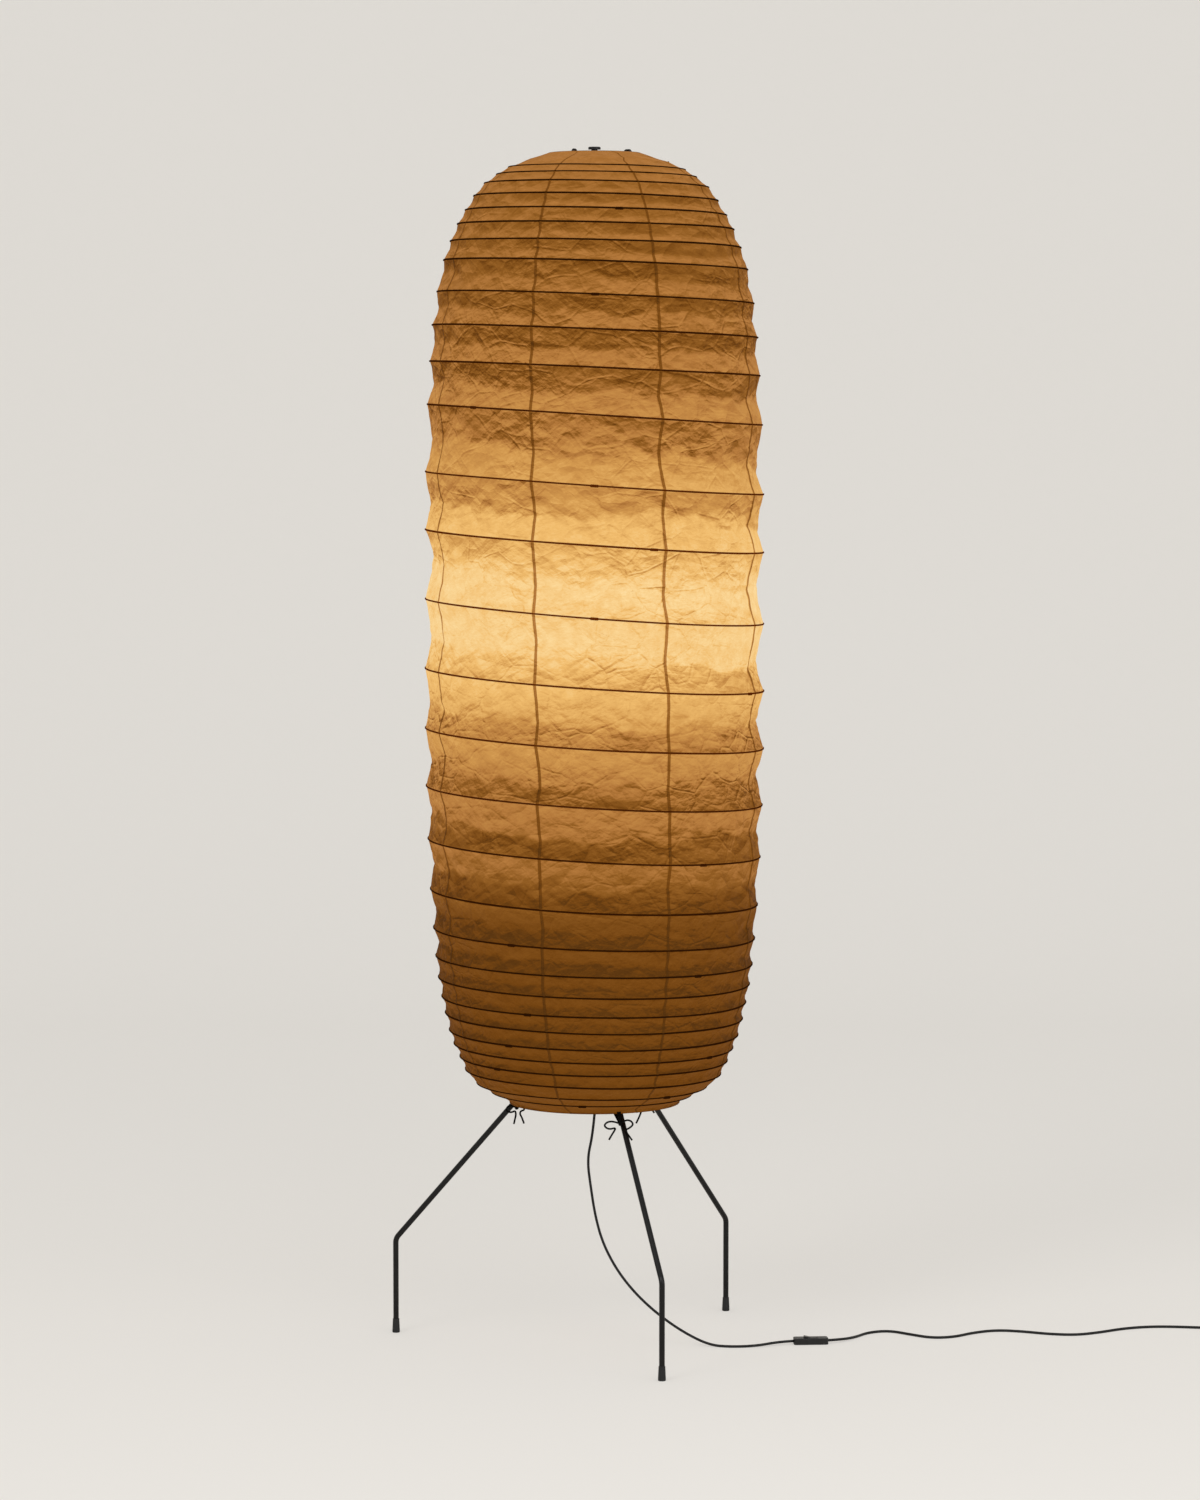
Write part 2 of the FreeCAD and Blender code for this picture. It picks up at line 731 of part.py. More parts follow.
def bulb_half(wall):
    """The bulb's solid envelope, less a wall: a ball that flares into its neck."""
    radius = size("bulb_globe_radius") - wall
    neck = size("bulb_neck_radius") - wall
    centre = V(0, 0, size("bulb_globe_height"))
    low = size("bulb_cap_top")
    angle = math.radians(size("bulb_flare_angle"))
    flare = centre + V(radius * math.cos(angle), 0, -radius * math.sin(angle))
    drop = (flare.x - neck) / math.tan(angle)
    throat = V(neck, 0, flare.z - drop)
    middle = centre + V(radius * math.cos(angle / 3), 0, radius * math.sin(angle / 3))
    crown = centre + V(0, 0, radius)
    edges = [
        Part.LineSegment(V(0, 0, low), V(neck, 0, low)).toShape(),
        Part.LineSegment(V(neck, 0, low), throat).toShape(),
        Part.LineSegment(throat, flare).toShape(),
        Part.Arc(flare, middle, crown).toShape(),
        Part.LineSegment(crown, V(0, 0, low)).toShape(),
    ]
    return Part.Face(Part.Wire(edges)).revolve(V(), up, 360)


def outline_curve(offset=0.0):
    """The shade's outline as a curve, moved outwards by an offset."""
    count = len(shade_outline)
    spots = [
        V(size("outline_radius_%d" % i), 0, size("outline_height_%d" % i)) for i in range(1, count + 1)
    ]
    curve = Part.BSplineCurve()
    curve.interpolate(spots)
    if offset:
        moved = []
        for spot in spots:
            along = curve.tangent(curve.parameter(spot))[0]
            outward = V(-along.z, 0, along.x).normalize()
            moved.append(spot + outward * offset)
        curve = Part.BSplineCurve()
        curve.interpolate(moved)
    return curve


def shell_profile(label, inside, outside):
    """The cut face of a thin shell between two offsets of the outline."""
    near, far = outline_curve(inside), outline_curve(outside)
    edges = [
        near.toShape(),
        Part.LineSegment(near.EndPoint, far.EndPoint).toShape(),
        far.toShape(),
        Part.LineSegment(far.StartPoint, near.StartPoint).toShape(),
    ]
    wire = Part.Wire(Part.__sortEdges__(edges))
    return feature(label, Part.Face(wire))


def sector(label, profile, angle, start):
    """Part of a turn of a profile about the lamp's axis."""
    piece = doc.addObject("Part::Revolution", label)
    piece.Source = profile
    piece.Axis = up
    piece.Solid = True
    piece.setExpression("Angle", angle)
    piece.Placement = FreeCAD.Placement(V(), FreeCAD.Rotation(up, start))
    return piece


def make_shade():
    thickness = size("paper_thickness")
    paper_face = shell_profile("paper_section", -thickness / 2, thickness / 2)
    lap_face = shell_profile("lap_section", thickness / 2, thickness * 1.5)
    step = 360 / size("gore_count")
    # the strings pass through the paper beside the bottom ring
    string_holes = []
    for side in sides:
        hole = doc.addObject("Part::Box", "string_hole_" + side)
        hole.setExpression("Length", "sizes.string_hole_length")
        hole.setExpression("Width", "sizes.string_hole_width")
        hole.setExpression("Height", "sizes.string_hole_height")
        doc.recompute()
        centring = V(-hole.Length / 2, -hole.Width / 2, -hole.Height / 2)
        turn = FreeCAD.Rotation(up, size("tie_angle_" + side))
        spot = polar(size("bottom_ring_radius"), size("tie_angle_" + side), size("bottom_ring_height"))
        hole.Placement = FreeCAD.Placement(spot + turn.multVec(centring), turn)
        string_holes.append(hole)
    holes = group("string_holes", string_holes)
    for number in range(int(size("gore_count"))):
        start = size("seam_angle") + step * number
        sheet_part = sector("gore_sheet_%d" % (number + 1), paper_face, "360 / sizes.gore_count", start)
        lap_start = start + step - size("seam_lap") / 2
        lap = sector("gore_lap_%d" % (number + 1), lap_face, "sizes.seam_lap", lap_start)
        whole = fuse("gore_whole_%d" % (number + 1), [sheet_part, lap])
        keep(cut("paper_gore_%d" % (number + 1), whole, holes), "paper_gore_%d" % (number + 1))
    keep(ring("shade_top_ring", "top_ring_radius", "top_ring_wire", "top_ring_height"), "shade_top_ring")
    lower = ring("shade_bottom_ring", "bottom_ring_radius", "bottom_ring_wire", "bottom_ring_height")
    keep(lower, "shade_bottom_ring")
    rib = swept(rib_path(), size("rib_radius"), int(size("rib_facets")))
    keep(feature("spiral_rib", rib), "spiral_rib")
    splices = [
        feature("rib_splice_%d" % (number + 1), splice(turn)) for number, turn in enumerate(splice_turns)
    ]
    keep(group("rib_splices", splices), "rib_splices")


def rib_height(turn):
    """Height of the rib after a number of turns, counted at the front of the shade."""
    last = len(rib_heights) - 1
    whole = max(0, min(int(math.floor(turn)), last - 1))
    low, high = size("rib_height_%d" % (whole + 2)), size("rib_height_%d" % (whole + 1))
    return high + (low - high) * (turn - whole)


def outline_radius(height, curve):
    level = Part.Line(V(0, 0, height), V(1, 0, height))
    return curve.intersect(level)[0].X


def rib_path():
    """The rib as half turns, each a level arc tipped about the Y direction.

    Its front half drops less than its back half, by the rib's slack at the sides.
    """
    curve = outline_curve()
    slack = size("rib_slack")
    tips = []
    for turn in range(len(rib_heights)):
        for side in (-1, 1):
            place = turn + side * slack
            if 0 <= place <= len(rib_heights) - 1 + slack:
                height = rib_height(place)
                tips.append(V(side * outline_radius(height, curve), 0, height))
    edges = []
    for start, end in zip(tips, tips[1:]):
        front = -1 if start.x < 0 else 1
        bulge = V(0, front * (end - start).Length / 2, 0)
        edges.append(Part.Arc(start, (start + end) * 0.5 + bulge, end).toShape())
    return Part.Wire(edges)


def splice(turn):
    """A short thick binding on the rib at one place of the spiral."""
    curve = outline_curve()
    height = rib_height(turn)
    radius = outline_radius(height, curve)
    share = turn - round(turn)
    angle = -90 + 90 * share / size("rib_slack")
    reach = math.degrees(size("splice_length") / 2 / radius)
    places = [polar(radius, angle + side * reach, height) for side in (-1, 0, 1)]
    return swept(Part.Wire([Part.Arc(*places).toShape()]), size("splice_radius"))


def belt(rounds):
    """A tight closed loop in the XZ plane round several rods, given anticlockwise: centre, radius."""
    count = len(rounds)
    tangents = []
    for i in range(count):
        (near, near_radius), (far, far_radius) = rounds[i], rounds[(i + 1) % count]
        across = far - near
        turn = math.atan2(across.z, across.x) - math.acos((near_radius - far_radius) / across.Length)
        normal = V(math.cos(turn), 0, math.sin(turn))
        tangents.append((turn, near + normal * near_radius, far + normal * far_radius))
    edges = []
    for i, (turn, start, end) in enumerate(tangents):
        next_turn, next_start, _ = tangents[(i + 1) % count]
        centre, radius = rounds[(i + 1) % count]
        middle = turn + (next_turn - turn) % (2 * math.pi) / 2
        crest = centre + V(math.cos(middle), 0, math.sin(middle)) * radius
        edges.append(Part.LineSegment(start, end).toShape())
        edges.append(Part.Arc(end, crest, next_start).toShape())
    return Part.Wire(edges)


# Each bow lies in an upright plane facing the front: across, depth and height from its knot.
bow_strings = {
    "left": [
        [(0, 0, 0), (-7, -1.5, 3.5), (-15, -2, 3), (-17.5, -3, -5), (-9, -4, -7.5), (-2, -4, -4),
         (-1, -4, -11), (-3, -4, -19), (-4.5, -4, -26)],
        [(0, 0, 0), (6, -1.5, 3), (12, -2, 1.5), (12.5, -3, -3.5), (7, -4, -4.5), (5, -5, -9),
         (9, -5.5, -16), (12, -5.5, -25)],
    ],
    "front": [
        [(0, 0, 0), (-9, -1.5, 4), (-20, -2, 4), (-26.5, -3, -2.5), (-18.5, -4, -8.5), (-7, -4, -5.5),
         (-9.5, -4, -11), (-13.5, -4, -17), (-18, -4, -25)],
        [(0, 0, 0), (7, -1.5, 6), (16, -2, 6.2), (21.5, -3, -0.5), (13.5, -5, -6.8), (7.5, -6, -8.5),
         (13, -8, -17), (19, -9, -25)],
    ],
    "right": [
        [(0, 0, 0), (-8, 1.5, 3), (-16, 2, 1.5), (-18, 3, -4.5), (-11, 4, -6), (-6, 4, -11),
         (-8, 4, -20), (-12, 4, -31), (-17, 4, -41)],
        [(0, 0, 0), (7, 1.5, 4), (14, 2, 2.5), (15.5, 3, -3), (9, 4, -5), (5, 5, -10),
         (8, 5.5, -17), (13, 5.5, -24)],
    ],
}


def make_ties():
    reach = size("string_radius") + size("string_gap")
    ring_spot = V(size("ring_radius"), 0, size("ring_height"))
    shade_spot = V(size("bottom_ring_radius"), 0, size("bottom_ring_height"))
    for side in sides:
        turn = FreeCAD.Rotation(up, size("tie_angle_" + side))
        knot_spot = V(size("knot_reach_" + side), 0, size("knot_height_" + side))
        loop = belt([
            (knot_spot, size("string_radius")),
            (shade_spot, size("bottom_ring_wire") + reach),
            (ring_spot, size("rod_radius") + reach),
        ])
        lashing = swept(loop, size("string_radius"))
        pieces = [feature("lashing_" + side, lashing, FreeCAD.Placement(V(), turn))]
        knot = turn.multVec(knot_spot)
        pieces.append(feature("knot_" + side, Part.makeSphere(size("knot_radius"), knot)))
        for number, route in enumerate(bow_strings[side], 1):
            spots = [knot + V(*p) for p in route]
            pieces.append(cord_tube("bow_%s_%d" % (side, number), spots, size("string_radius")))
        keep(group("string_tie_" + side, pieces), "string_tie_" + side)


def switch_place():
    turn = FreeCAD.Rotation(up, size("switch_turn"))
    return FreeCAD.Placement(V(size("switch_x"), size("switch_y"), 0), turn)


def cord_hole(label):
    """The channel for the cord through both ends of the switch."""
    hole = doc.addObject("Part::Cylinder", label)
    hole.setExpression("Radius", "sizes.cord_radius")
    hole.setExpression("Height", "sizes.switch_length + 2 * sizes.switch_hole_overrun")
    turn = FreeCAD.Rotation(V(0, 1, 0), 90)
    start = V(-size("switch_length") / 2 - size("switch_hole_overrun"), 0, size("switch_split"))
    hole.Placement = FreeCAD.Placement(start, turn)
    return hole


def make_switch():
    inner_length = "switch_length - switch_wall - switch_wall"
    inner_width = "switch_width - switch_wall - switch_wall"
    lower = block(
        "switch_lower_shell", "switch_length", "switch_width", "switch_split",
        "switch_corner", "switch_edge", 0,
    )
    hollow(lower, "switch_lower_room", inner_length, inner_width, "switch_wall", "switch_split")
    upper = block(
        "switch_upper_shell", "switch_length", "switch_width", "switch_height - switch_split",
        "switch_corner", "switch_edge", amount("switch_height - switch_split"),
    )
    room_height = "switch_height - switch_split - switch_roof"
    hollow(upper, "switch_upper_room", inner_length, inner_width, "0", room_height)
    hollow(upper, "rocker_slot", "switch_slot_length", "switch_slot_width", "0", "switch_height")
    upper.setExpression("Placement.Base.z", "sizes.switch_split")
    bearing_height = "switch_height - switch_roof - bearing_bottom"
    bearings = [
        box(
            "rocker_bearing_" + side, "bearing_length", "bearing_width", bearing_height,
            "0", sign + "bearing_middle", "bearing_bottom",
        )
        for side, sign in (("front", "0 - "), ("back", "0 + "))
    ]
    bosses = [
        cylinder(
            "screw_boss_" + side, "post_boss", "switch_split", "switch_height - switch_roof - switch_split",
            sign + "screw_x", sign + "screw_y",
        )
        for side, sign in (("left", "0 - "), ("right", "0 + "))
    ]
    screws = []
    screw_bores = []
    for side, sign in (("left", "0 - "), ("right", "0 + ")):
        spot = (sign + "screw_x", sign + "screw_y")
        for name, kept in (("screw", screws), ("screw_bore", screw_bores)):
            shank_height = "screw_top - screw_recess"
            shank = cylinder(name + "_shank_" + side, "screw_radius", "screw_recess", shank_height, *spot)
            head = cylinder(name + "_head_" + side, "screw_head", "screw_recess", "screw_head_height", *spot)
            kept.append(fuse(name + "_" + side, [shank, head]))
    pin_hole = doc.addObject("Part::Cylinder", "rocker_pin_hole")
    pin_hole.setExpression("Radius", "sizes.rocker_pin_bore")
    pin_hole.setExpression("Height", "sizes.rocker_pin_length + 2 * sizes.rocker_pin_play")
    across = FreeCAD.Rotation(V(1, 0, 0), -90)
    start = V(0, -size("rocker_pin_length") / 2 - size("rocker_pin_play"), size("rocker_axis"))
    pin_hole.Placement = FreeCAD.Placement(start, across)
    lower_tools = fuse("lower_tools", [cord_hole("lower_cord_hole"), screw_bores[0], screw_bores[1]])
    lower_cut = cut("switch_base", lower, lower_tools)
    upper_whole = fuse("upper_whole", [upper] + bearings + bosses)
    upper_bores = [
        cylinder(
            "pilot_" + side, "screw_radius", "switch_split", "screw_top - switch_split",
            sign + "screw_x", sign + "screw_y",
        )
        for side, sign in (("left", "0 - "), ("right", "0 + "))
    ]
    upper_tools = fuse("upper_tools", [cord_hole("upper_cord_hole"), pin_hole] + upper_bores)
    upper_cut = cut("switch_cover", upper_whole, upper_tools)
    screw_group = group("switch_screws", screws)
    strips = [
        box(
            "contact_strip_%s" % side, "strip_length", "strip_width", "strip_thickness",
            place, "0", "switch_wall",
        )
        for side, place in (("left", "0 - strip_length"), ("right", "strip_length"))
    ]
    strip_group = group("switch_contacts", strips)
    for piece in (lower_cut, upper_cut, screw_group, strip_group):
        piece.Placement = switch_place()
        keep(piece, piece.Name)
    keep(make_rocker(), "switch_rocker")


def make_rocker():
    """The rocker with its pin, tipped to its resting side."""
    body = doc.addObject("PartDesign::Body", "rocker_body")
    outline = [
        ("0 - rocker_base_half", "rocker_bottom"), ("rocker_base_half", "rocker_bottom"),
        ("rocker_half", "rocker_flank"), ("rocker_half", "rocker_top"), ("0", "rocker_waist"),
        ("0 - rocker_half", "rocker_top"), ("0 - rocker_half", "rocker_flank"),
    ]
    sketch = closed_sketch(body, "rocker_outline", "XZ_Plane", outline)
    pad = body.newObject("PartDesign::Pad", "rocker_pad")
    pad.Profile = sketch
    pad.SideType = "Symmetric"
    pad.setExpression("Length", "sizes.rocker_width")
    body.Tip = pad
    pin = doc.addObject("Part::Cylinder", "rocker_pin_shape")
    pin.setExpression("Radius", "sizes.rocker_pin")
    pin.setExpression("Height", "sizes.rocker_pin_length")
    across = FreeCAD.Rotation(V(1, 0, 0), -90)
    pin.Placement = FreeCAD.Placement(V(0, -size("rocker_pin_length") / 2, size("rocker_axis")), across)
    rocker = fuse("rocker", [body, pin])
    tilt = FreeCAD.Placement(
        V(), FreeCAD.Rotation(V(0, 1, 0), size("rocker_rest_tilt")), V(0, 0, size("rocker_axis"))
    )
    rocker.Placement = switch_place().multiply(tilt)
    return rocker


def make_cord():
    radius = size("cord_radius")
    keep(cord_tube("cord_to_switch", route_to_switch, radius), "cord_to_switch")
    keep(cord_tube("cord_to_plug", route_to_coil, radius), "cord_to_plug")
    # the rest of the cord, wound up: one ring of the coil's outer shape
    mean, band, low = size("coil_mean_radius"), size("coil_band"), size("coil_bottom")
    inside, outside = mean - band / 2, mean + band / 2
    high = low + size("coil_height")
    corner = size("cord_radius")
    outline = [
        V(inside, 0, low + corner), V(inside + corner, 0, low), V(outside - corner, 0, low),
        V(outside, 0, low + corner), V(outside, 0, high - corner), V(outside - corner, 0, high),
        V(inside + corner, 0, high), V(inside, 0, high - corner), V(inside, 0, low + corner),
    ]
    coil = Part.Face(Part.makePolygon(outline)).revolve(V(), up, 360)
    place = FreeCAD.Placement(V(size("coil_x"), size("coil_y"), 0), FreeCAD.Rotation())
    keep(feature("cord_coil", coil, place), "cord_coil")
    # a flat band round the turns, at the front of the coil
    wall = "coil_tie_thickness"
    middle = "coil_y - coil_mean_radius"
    band_outside = box(
        "tie_outside", "coil_tie_width", "coil_band + %s + %s" % (wall, wall),
        "coil_height + %s + %s" % (wall, wall), "coil_x", middle, "coil_bottom - " + wall,
    )
    band_inside = box(
        "tie_inside", "coil_tie_width", "coil_band", "coil_height", "coil_x", middle, "coil_bottom",
    )
    keep(cut("coil_tie", band_outside, band_inside), "coil_tie")


def make_plug():
    """A flat two-pin plug lying on the floor beside the coil, its pins towards the front."""
    body = doc.addObject("PartDesign::Body", "plug_shell")
    outline = [
        ("0 - plug_half_nose", "0"), ("plug_half_nose", "0"), ("plug_half_width", "plug_widest"),
        ("plug_half_tail", "plug_length"), ("0 - plug_half_tail", "plug_length"),
        ("0 - plug_half_width", "plug_widest"),
    ]
    sketch = closed_sketch(body, "plug_plan", "XY_Plane", outline)
    pad = body.newObject("PartDesign::Pad", "plug_pad")
    pad.Profile = sketch
    pad.setExpression("Length", "sizes.plug_height")
    doc.recompute()
    lines = ["Edge%d" % (i + 1) for i in range(len(pad.Shape.Edges))]
    edges = body.newObject("PartDesign::Fillet", "plug_edges")
    edges.Base = (pad, lines)
    edges.setExpression("Radius", "sizes.plug_edge")
    body.Tip = edges
    sleeve = doc.addObject("Part::Cone", "plug_sleeve")
    sleeve.setExpression("Radius1", "sizes.plug_sleeve_wide")
    sleeve.setExpression("Radius2", "sizes.plug_sleeve_tip")
    sleeve.setExpression("Height", "sizes.plug_sleeve_length + sizes.plug_sleeve_overlap")
    back = FreeCAD.Rotation(V(1, 0, 0), -90)
    middle = size("plug_height") / 2
    sleeve_start = size("plug_length") - size("plug_sleeve_overlap")
    sleeve.Placement = FreeCAD.Placement(V(0, sleeve_start, middle), back)
    doc.recompute()
    # each pin is bare at its end; a thinner core runs through a plastic sleeve into the plug
    pins = []
    seats = []
    sleeves = []
    toward_socket = V(0, -1, 0)
    sleeve_length = size("pin_sleeve_length")
    for side, sign in (("left", -1), ("right", 1)):
        root = V(sign * size("pin_offset"), size("pin_root"), middle)
        shoulder = V(root.x, -sleeve_length, middle)
        bare_length = size("pin_length") - sleeve_length
        bare = Part.makeCylinder(size("pin_radius"), bare_length, shoulder, toward_socket)
        nose = [line for line in bare.Edges if line.BoundBox.YMax < 0.01 - size("pin_length")]
        core_length = size("pin_root") + sleeve_length
        core = Part.makeCylinder(size("pin_core_radius"), core_length, root, toward_socket)
        overlap = size("pin_sleeve_overlap")
        behind = V(root.x, overlap, middle)
        cover_length = sleeve_length + overlap
        cover = Part.makeCylinder(size("pin_sleeve_radius"), cover_length, behind, toward_socket)
        pins.append(feature("plug_pin_" + side, bare.makeFillet(size("pin_edge"), nose).fuse(core)))
        seats.append(feature("pin_seat_" + side, core))
        sleeves.append(feature("pin_sleeve_" + side, cover))
    place = FreeCAD.Placement(V(size("plug_x"), size("plug_nose"), 0), FreeCAD.Rotation())
    shell = cut("plug_body", fuse("plug_whole", [body, sleeve] + sleeves), fuse("pin_seats", seats))
    shell.Placement = place
    keep(shell, "plug_body")
    pin_group = group("plug_pins", pins)
    pin_group.Placement = place
    keep(pin_group, "plug_pins")


fill_sheet()
make_stand()
make_post()
make_lampholder()
make_upper_wires()
make_bulb()
make_shade()
make_ties()
make_switch()
make_cord()
make_plug()
doc.recompute()

for item in doc.Objects:
    if "Invalid" in item.State or "Error" in item.State:
        raise RuntimeError(item.Name + " did not compute: " + str(item.State))
os.makedirs("parts", exist_ok=True)
for piece in nodes:
    if piece.Shape.isNull() or not piece.Shape.isValid():
        raise RuntimeError(piece.Label + " is not a valid shape")
    if not piece.Shape.Solids:
        raise RuntimeError(piece.Label + " holds no solid")
for piece in nodes:
    piece.Shape.exportStep("parts/%s.step" % piece.Label)
    print("%-20s %2d solid(s) %10.0f mm3" % (piece.Label, len(piece.Shape.Solids), piece.Shape.Volume))
print(len(nodes), "nodes")
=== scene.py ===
import math

import bmesh
import bpy
from mathutils import Matrix, Vector, noise
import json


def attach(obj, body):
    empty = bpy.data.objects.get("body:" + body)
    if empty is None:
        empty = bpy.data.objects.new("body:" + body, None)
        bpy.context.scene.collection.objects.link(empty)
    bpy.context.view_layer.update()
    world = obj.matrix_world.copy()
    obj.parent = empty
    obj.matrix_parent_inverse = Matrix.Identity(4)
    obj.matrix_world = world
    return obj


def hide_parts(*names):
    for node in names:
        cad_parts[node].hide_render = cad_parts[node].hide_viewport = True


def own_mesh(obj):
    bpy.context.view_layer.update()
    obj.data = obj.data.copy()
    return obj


# Paper lantern floor lamp, dressed over its CAD frame. Metres, +Z up, the front towards -Y.
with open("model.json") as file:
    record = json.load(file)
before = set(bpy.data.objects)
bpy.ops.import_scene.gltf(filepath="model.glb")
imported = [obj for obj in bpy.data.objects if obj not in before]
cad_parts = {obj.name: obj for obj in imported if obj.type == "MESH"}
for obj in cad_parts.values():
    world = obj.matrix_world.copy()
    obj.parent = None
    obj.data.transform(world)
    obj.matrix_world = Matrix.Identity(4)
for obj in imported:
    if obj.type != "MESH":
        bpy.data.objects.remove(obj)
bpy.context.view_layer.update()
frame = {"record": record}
scene = bpy.context.scene
millimetre = 0.001


def linearColour(hexText):
    # an sRGB hex colour as linear red, green, blue and full alpha
    channels = []
    for start in (1, 3, 5):
        value = int(hexText[start:start + 2], 16) / 255
        channels.append(value / 12.92 if value <= 0.04045 else ((value + 0.055) / 1.055) ** 2.4)
    return (*channels, 1.0)


def addNode(tree, kind, settings=None, inputs=None):
    # inputs: a socket feeds the input, anything else is set on it
    node = tree.nodes.new(kind)
    for name, value in (settings or {}).items():
        setattr(node, name, value)
    for key, value in (inputs or {}).items():
        if isinstance(value, bpy.types.NodeSocket):
            tree.links.new(value, node.inputs[key])
        else:
            node.inputs[key].default_value = value
    return node


def newMaterial(name):
    material = bpy.data.materials.new(name)
    material.use_nodes = True
    tree = material.node_tree
    tree.nodes.clear()
    surface = addNode(tree, "ShaderNodeBsdfPrincipled")
    output = addNode(tree, "ShaderNodeOutputMaterial", inputs={"Surface": surface.outputs[0]})
    output.is_active_output = True
    place = addNode(tree, "ShaderNodeTexCoord").outputs["Object"]
    return material, tree, surface, place


def setRamp(node, stops, interpolation="LINEAR"):
    ramp = node.color_ramp
    ramp.interpolation = interpolation
    while len(ramp.elements) > 1:
        ramp.elements.remove(ramp.elements[0])
    for number, (position, colour) in enumerate(stops):
        element = ramp.elements[0] if number == 0 else ramp.elements.new(position)
        element.position = position
        element.color = linearColour(colour)


def addPiece(name, data, body):
    piece = bpy.data.objects.new(name, data)
    scene.collection.objects.link(piece)
    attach(piece, body)
    return piece


def shadeSmooth(data):
    for face in data.polygons:
        face.use_smooth = True


def stringCurve(name, route, radius, body, material):
    # a free cord or string: one smooth spline along the route's points
    data = bpy.data.curves.new(name, "CURVE")
    data.dimensions = "3D"
    spline = data.splines.new("NURBS")
    spline.points.add(len(route) - 1)
    for point, place in zip(spline.points, route):
        point.co = (*place, 1)
    spline.order_u = 3
    spline.use_endpoint_u = True
    spline.resolution_u = 10
    data.bevel_depth = radius
    data.bevel_resolution = 3
    data.use_fill_caps = True
    data.materials.append(material)
    return addPiece(name, data, body)


# the camera stands where the photographer stood, level with the upper part of the shade
cameraView = {
    "place": (0.0089, -7.5, 1.52),
    "pitchDown": 4.234,          # degrees
    "focalPixels": 4657.4,
    "pictureHeight": 1500,       # pixels
    "sensorHeight": 24,
}
cameraData = bpy.data.cameras.new("photoCamera")
cameraData.sensor_fit = "VERTICAL"
cameraData.sensor_height = cameraView["sensorHeight"]
cameraData.lens = cameraView["focalPixels"] * cameraView["sensorHeight"] / cameraView["pictureHeight"]
camera = bpy.data.objects.new("photoCamera", cameraData)
camera.location = cameraView["place"]
camera.rotation_euler = (math.radians(90 - cameraView["pitchDown"]), 0, 0)
scene.collection.objects.link(camera)
scene.camera = camera
print("camera set")


# cord and string
def pvcSheath():
    # soft black PVC, extruded: satin, with a faint long ripple from the die
    material, tree, surface, place = newMaterial("cordSheathPvc")
    ripple = addNode(tree, "ShaderNodeTexNoise", inputs={"Vector": place, "Scale": 140, "Detail": 3})
    shade = addNode(tree, "ShaderNodeValToRGB", inputs={"Fac": ripple.outputs["Fac"]})
    setRamp(shade, [(0.3, "#070708"), (0.7, "#0f0f10")])
    gloss = addNode(tree, "ShaderNodeMapRange", inputs={
        "Value": ripple.outputs["Fac"], "From Min": 0.3, "From Max": 0.7, "To Min": 0.4, "To Max": 0.54})
    dents = addNode(tree, "ShaderNodeBump", inputs={
        "Height": ripple.outputs["Fac"], "Strength": 0.25, "Distance": 0.0006})
    tree.links.new(shade.outputs["Color"], surface.inputs["Base Color"])
    tree.links.new(gloss.outputs["Result"], surface.inputs["Roughness"])
    tree.links.new(dents.outputs["Normal"], surface.inputs["Normal"])
    surface.inputs["Specular IOR Level"].default_value = 0.34
    return material


def twistedString():
    # black cotton string, twisted: matt, its strands about 0.8 mm apart
    material, tree, surface, place = newMaterial("bowStringCotton")
    strands = addNode(tree, "ShaderNodeTexWave", {"wave_type": "BANDS", "bands_direction": "DIAGONAL"}, {
        "Vector": place, "Scale": 400, "Distortion": 2.5, "Detail": 2})
    # painted shade: the grooves between the strands are darker than their crowns
    shade = addNode(tree, "ShaderNodeValToRGB", inputs={"Fac": strands.outputs["Fac"]})
    setRamp(shade, [(0, "#050404"), (1, "#12100e")])
    twist = addNode(tree, "ShaderNodeBump", inputs={
        "Height": strands.outputs["Fac"], "Strength": 0.8, "Distance": 0.0005})
    tree.links.new(shade.outputs["Color"], surface.inputs["Base Color"])
    tree.links.new(twist.outputs["Normal"], surface.inputs["Normal"])
    surface.inputs["Roughness"].default_value = 0.9
    surface.inputs["Specular IOR Level"].default_value = 0.12
    return material


cordSheath = pvcSheath()
bowString = twistedString()

cordSizes = {
    "radius": 0.0022,
    "coilCentre": (1.052, 0.066),
    "coilRadii": (0.0315, 0.018),    # outermost and innermost turn
    "coilHeights": (0.0031, 0.0075),
    "coilStartAngle": 127,           # degrees, turning clockwise from above
    "turnsPerLayer": 3,              # then one turn at the innermost radius, on the way up
    "pointsPerTurn": 16,
    "plugSleeve": (1.0835, 0.0455, 0.0068),
    "straightAtPlug": (0.008, -0.004),       # before the sleeve's tip and inside it
}

routeToSwitch = [
    (0, 0, 0.372), (-0.003, 0, 0.338), (-0.012, -0.002, 0.298), (-0.006, -0.005, 0.252),
    (0.001, -0.008, 0.207), (0.013, -0.012, 0.163), (0.036, -0.016, 0.119), (0.067, -0.020, 0.080),
    (0.105, -0.025, 0.046), (0.146, -0.034, 0.019), (0.186, -0.050, 0.0023), (0.220, -0.064, 0.0023),
    (0.262, -0.058, 0.0026), (0.300, -0.038, 0.0053), (0.328, -0.0306, 0.0053),
]
routeToCoil = [
    (0.374, -0.0274, 0.0053), (0.400, -0.020, 0.0052), (0.426, 0.014, 0.0023), (0.448, 0.052, 0.0023),
    (0.484, 0.068, 0.0023), (0.518, 0.036, 0.0023), (0.550, 0.008, 0.0023), (0.588, 0.016, 0.0023),
    (0.620, 0.050, 0.0023), (0.660, 0.072, 0.0023), (0.702, 0.062, 0.0023), (0.744, 0.040, 0.0023),
    (0.788, 0.032, 0.0023), (0.830, 0.054, 0.0023), (0.872, 0.086, 0.0023), (0.918, 0.102, 0.0023),
    (0.964, 0.100, 0.0023), (1.002, 0.092, 0.0023),
]


